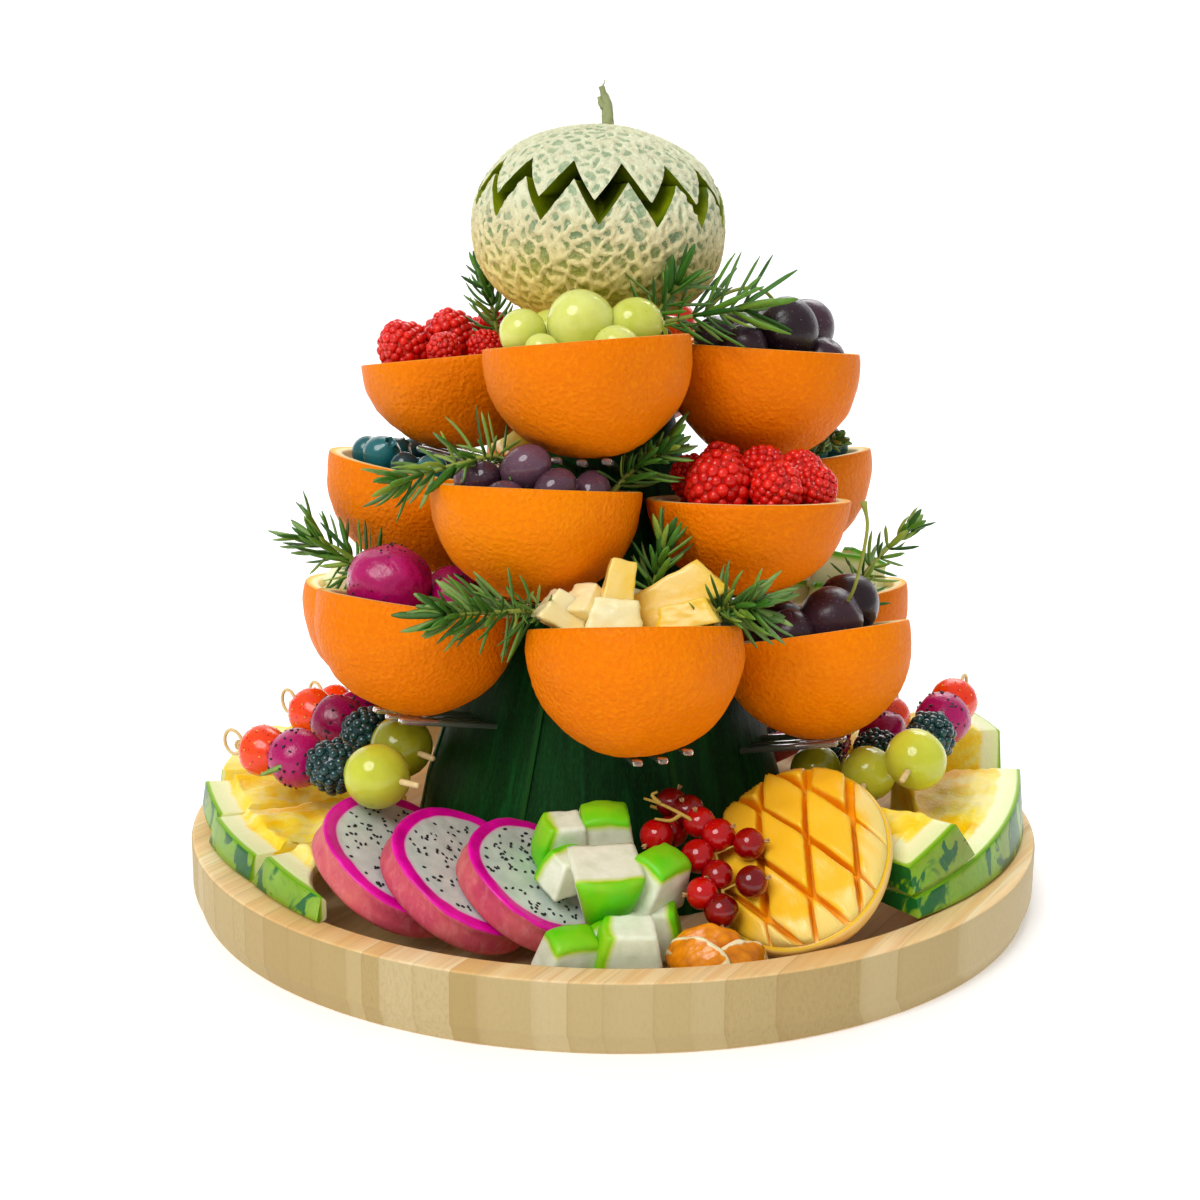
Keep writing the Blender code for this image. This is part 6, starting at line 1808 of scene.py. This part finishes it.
def make_currants(finishes):
    """A bunch of currants: the stem, its forked end, and each berry on a thin stalk with a dry calyx."""
    pile = Pile()
    dice = np.random.default_rng(12)
    line = smooth_line(CURRANT_STEM, 30)
    pile.add(tube(line, 0.7), 1, 0.5)
    for branch in CURRANT_BRANCHES:
        pile.add(tube(smooth_line(branch, 12), np.linspace(0.9, 0.5, 12)), 1, 0.7)
    berry = globe(26, 18)
    for centre in CURRANTS:
        centre = np.array(centre, float)
        near = line[np.argmin(np.linalg.norm(line - centre, axis=1))]
        radius = CURRANT_RADIUS * dice.uniform(0.93, 1.03)
        way = unit(centre - near + dice.normal(scale=0.8, size=3) + (0, -2.0, 0))
        frame = facing(way)
        points, faces = lumpy(berry, 0.01, 1.5, int(dice.integers(1, 9999)))
        pile.add((placed(points * (1, 1, 0.96), centre, frame, radius), faces), 0, dice.uniform())
        stalk = [near, (near + centre) / 2 + (0, 0, 1.0), centre - way * radius * 0.9]
        pile.add(tube(smooth_line(stalk, 8), 0.4, 6), 1, 0.4)
        for k in range(5):
            around = about_z(k * 2 * math.pi / 5)[:, 0]
            tip = centre + way * (radius + 1.6) + frame @ around * 0.8
            pile.add(tube([centre + way * (radius - 0.5), tip], (0.55, 0.25), 5), 2, dice.uniform())
    used = [finishes[key] for key in ("currant", "currant_stem", "calyx")]
    pile.make("red_currant_bunch", "red_currants", used)


# ---------------------------------------------------------------- camera, light and floor

# The picture's camera: target and distance in metres, degrees, and the lens in millimetres
CAMERA_TARGET = Vector((-0.0063, 0.0, 0.1212))
CAMERA_PITCH, CAMERA_ROLL = 13.2, 0.47
CAMERA_DISTANCE = 0.8
SENSOR_WIDTH, FOCAL_LENGTH = 36.0, 56.4
# Light
KEY_STRENGTH, KEY_WIDTH, KEY_WAY = 1.9, 34.0, (-0.5, -0.8, 1.0)
BACK_POWER, BACK_SPOT, BACK_SIZE = 5.0, (0.3, 0.9, 1.0), (0.8, 0.5)
SKY_STRENGTH = 0.45
FLOOR_GLOW = 0.22
WHITE = (1.0, 1.0, 1.0, 1.0)
# Floor in metres: where it starts, where it turns up, the radius of that bend, its top and half its width
FLOOR_START, FLOOR_BEND, BEND_RADIUS, FLOOR_TOP, FLOOR_HALF = -2.5, 1.2, 0.8, 3.0, 3.0


def set_camera():
    """Looks forwards and down at the target, with a small roll."""
    pitch, roll = math.radians(CAMERA_PITCH), math.radians(CAMERA_ROLL)
    ahead = Vector((0, math.cos(pitch), -math.sin(pitch)))
    level = Vector((1, 0, 0))
    right = level * math.cos(roll) + level.cross(ahead) * math.sin(roll)
    turn = Matrix((right, right.cross(ahead), -ahead)).transposed().to_4x4()
    data = bpy.data.cameras.new("camera")
    data.sensor_width = SENSOR_WIDTH
    data.lens = FOCAL_LENGTH
    data.clip_start = 0.01
    camera = bpy.data.objects.new("camera", data)
    camera.matrix_world = Matrix.Translation(CAMERA_TARGET - ahead * CAMERA_DISTANCE) @ turn
    bpy.context.scene.collection.objects.link(camera)
    bpy.context.scene.camera = camera


def add_light(name, kind, power, spot, towards):
    """A lamp at a spot, in metres, that shines towards another; returns its settings."""
    data = bpy.data.lights.new(name, kind)
    data.energy = power
    light = bpy.data.objects.new(name, data)
    light.location = spot
    light.rotation_euler = (Vector(towards) - Vector(spot)).to_track_quat("-Z", "Y").to_euler()
    bpy.context.scene.collection.objects.link(light)
    return data


def set_world():
    """White all round; the camera sees a very light grey behind the object."""
    world = bpy.data.worlds.new("studio")
    world.use_nodes = True
    tree = world.node_tree
    background = next(n for n in tree.nodes if n.type == "BACKGROUND")
    background.inputs["Color"].default_value = WHITE
    background.inputs["Strength"].default_value = SKY_STRENGTH
    backdrop = tree.nodes.new("ShaderNodeBackground")
    backdrop.inputs["Color"].default_value = (0.955, 0.955, 0.96, 1.0)
    seen = tree.nodes.new("ShaderNodeLightPath").outputs["Is Camera Ray"]
    either = tree.nodes.new("ShaderNodeMixShader")
    output = next(n for n in tree.nodes if n.type == "OUTPUT_WORLD")
    tree.links.new(seen, either.inputs[0])
    tree.links.new(background.outputs[0], either.inputs[1])
    tree.links.new(backdrop.outputs[0], either.inputs[2])
    tree.links.new(either.outputs[0], output.inputs["Surface"])
    bpy.context.scene.world = world
    bpy.context.scene.view_settings.view_transform = "Standard"


def set_lights():
    """A soft key from the front left and above, and a lamp behind the object."""
    key = add_light("key", "SUN", KEY_STRENGTH, (0, 0, 0), [-way for way in KEY_WAY])
    key.angle = math.radians(KEY_WIDTH)
    back = add_light("back", "AREA", BACK_POWER, BACK_SPOT, (0, 0, 0.2))
    back.shape = "RECTANGLE"
    back.size, back.size_y = BACK_SIZE


def make_floor():
    """White floor that bends up into a wall behind the object."""
    glow = {"Emission Strength": FLOOR_GLOW, "Emission Color": WHITE}
    finish = Finish("floor", 0.7, shine=0.1, others=glow)
    white, whiter = (0.9593, 0.9593, 0.9617), (0.9686, 0.9686, 0.9709)
    finish.colour(finish.ramp(finish.noise(3.0), (0.3, white), (0.7, whiter)))
    outline = [(FLOOR_START, 0.0)]
    for a in np.radians((0, 15, 30, 45, 60, 75, 90)):
        outline.append((FLOOR_BEND + BEND_RADIUS * math.sin(a), BEND_RADIUS * (1 - math.cos(a))))
    outline.append((FLOOR_BEND + BEND_RADIUS, FLOOR_TOP))
    points = [(x, y, z) for y, z in outline for x in (-FLOOR_HALF, FLOOR_HALF)]
    faces = [(2 * i, 2 * i + 1, 2 * i + 3, 2 * i + 2) for i in range(len(outline) - 1)]
    mesh = bpy.data.meshes.new("floor")
    mesh.from_pydata(points, [], faces)
    mesh.polygons.foreach_set("use_smooth", [True] * len(faces))
    mesh.materials.append(finish.material)
    floor = bpy.data.objects.new("floor", mesh)
    bpy.context.scene.collection.objects.link(floor)


def build():
    finishes = make_finishes()
    make_tray(finishes)
    make_leaves(finishes)
    make_prongs(finishes)
    for cup in ALL_CUPS.values():
        make_cup(cup, finishes)
    for key, cup in ALL_CUPS.items():
        if key in KINDS:
            fill_cup(cup, finishes)
        else:
            fill_with_chunks(cup, finishes)
    make_sprigs(finishes)
    make_stalks(finishes)
    make_melon(finishes)
    make_wedges(finishes)
    make_slices(finishes)
    make_picks(finishes)
    make_mangoes(finishes)
    make_chunks("guava_chunks_front", "guava_front", GUAVA, finishes)
    make_chunks("guava_chunks_back", "guava_back", GUAVA_BACK, finishes)
    make_segments(finishes)
    make_currants(finishes)
    set_camera()
    set_world()
    set_lights()
    make_floor()


build()
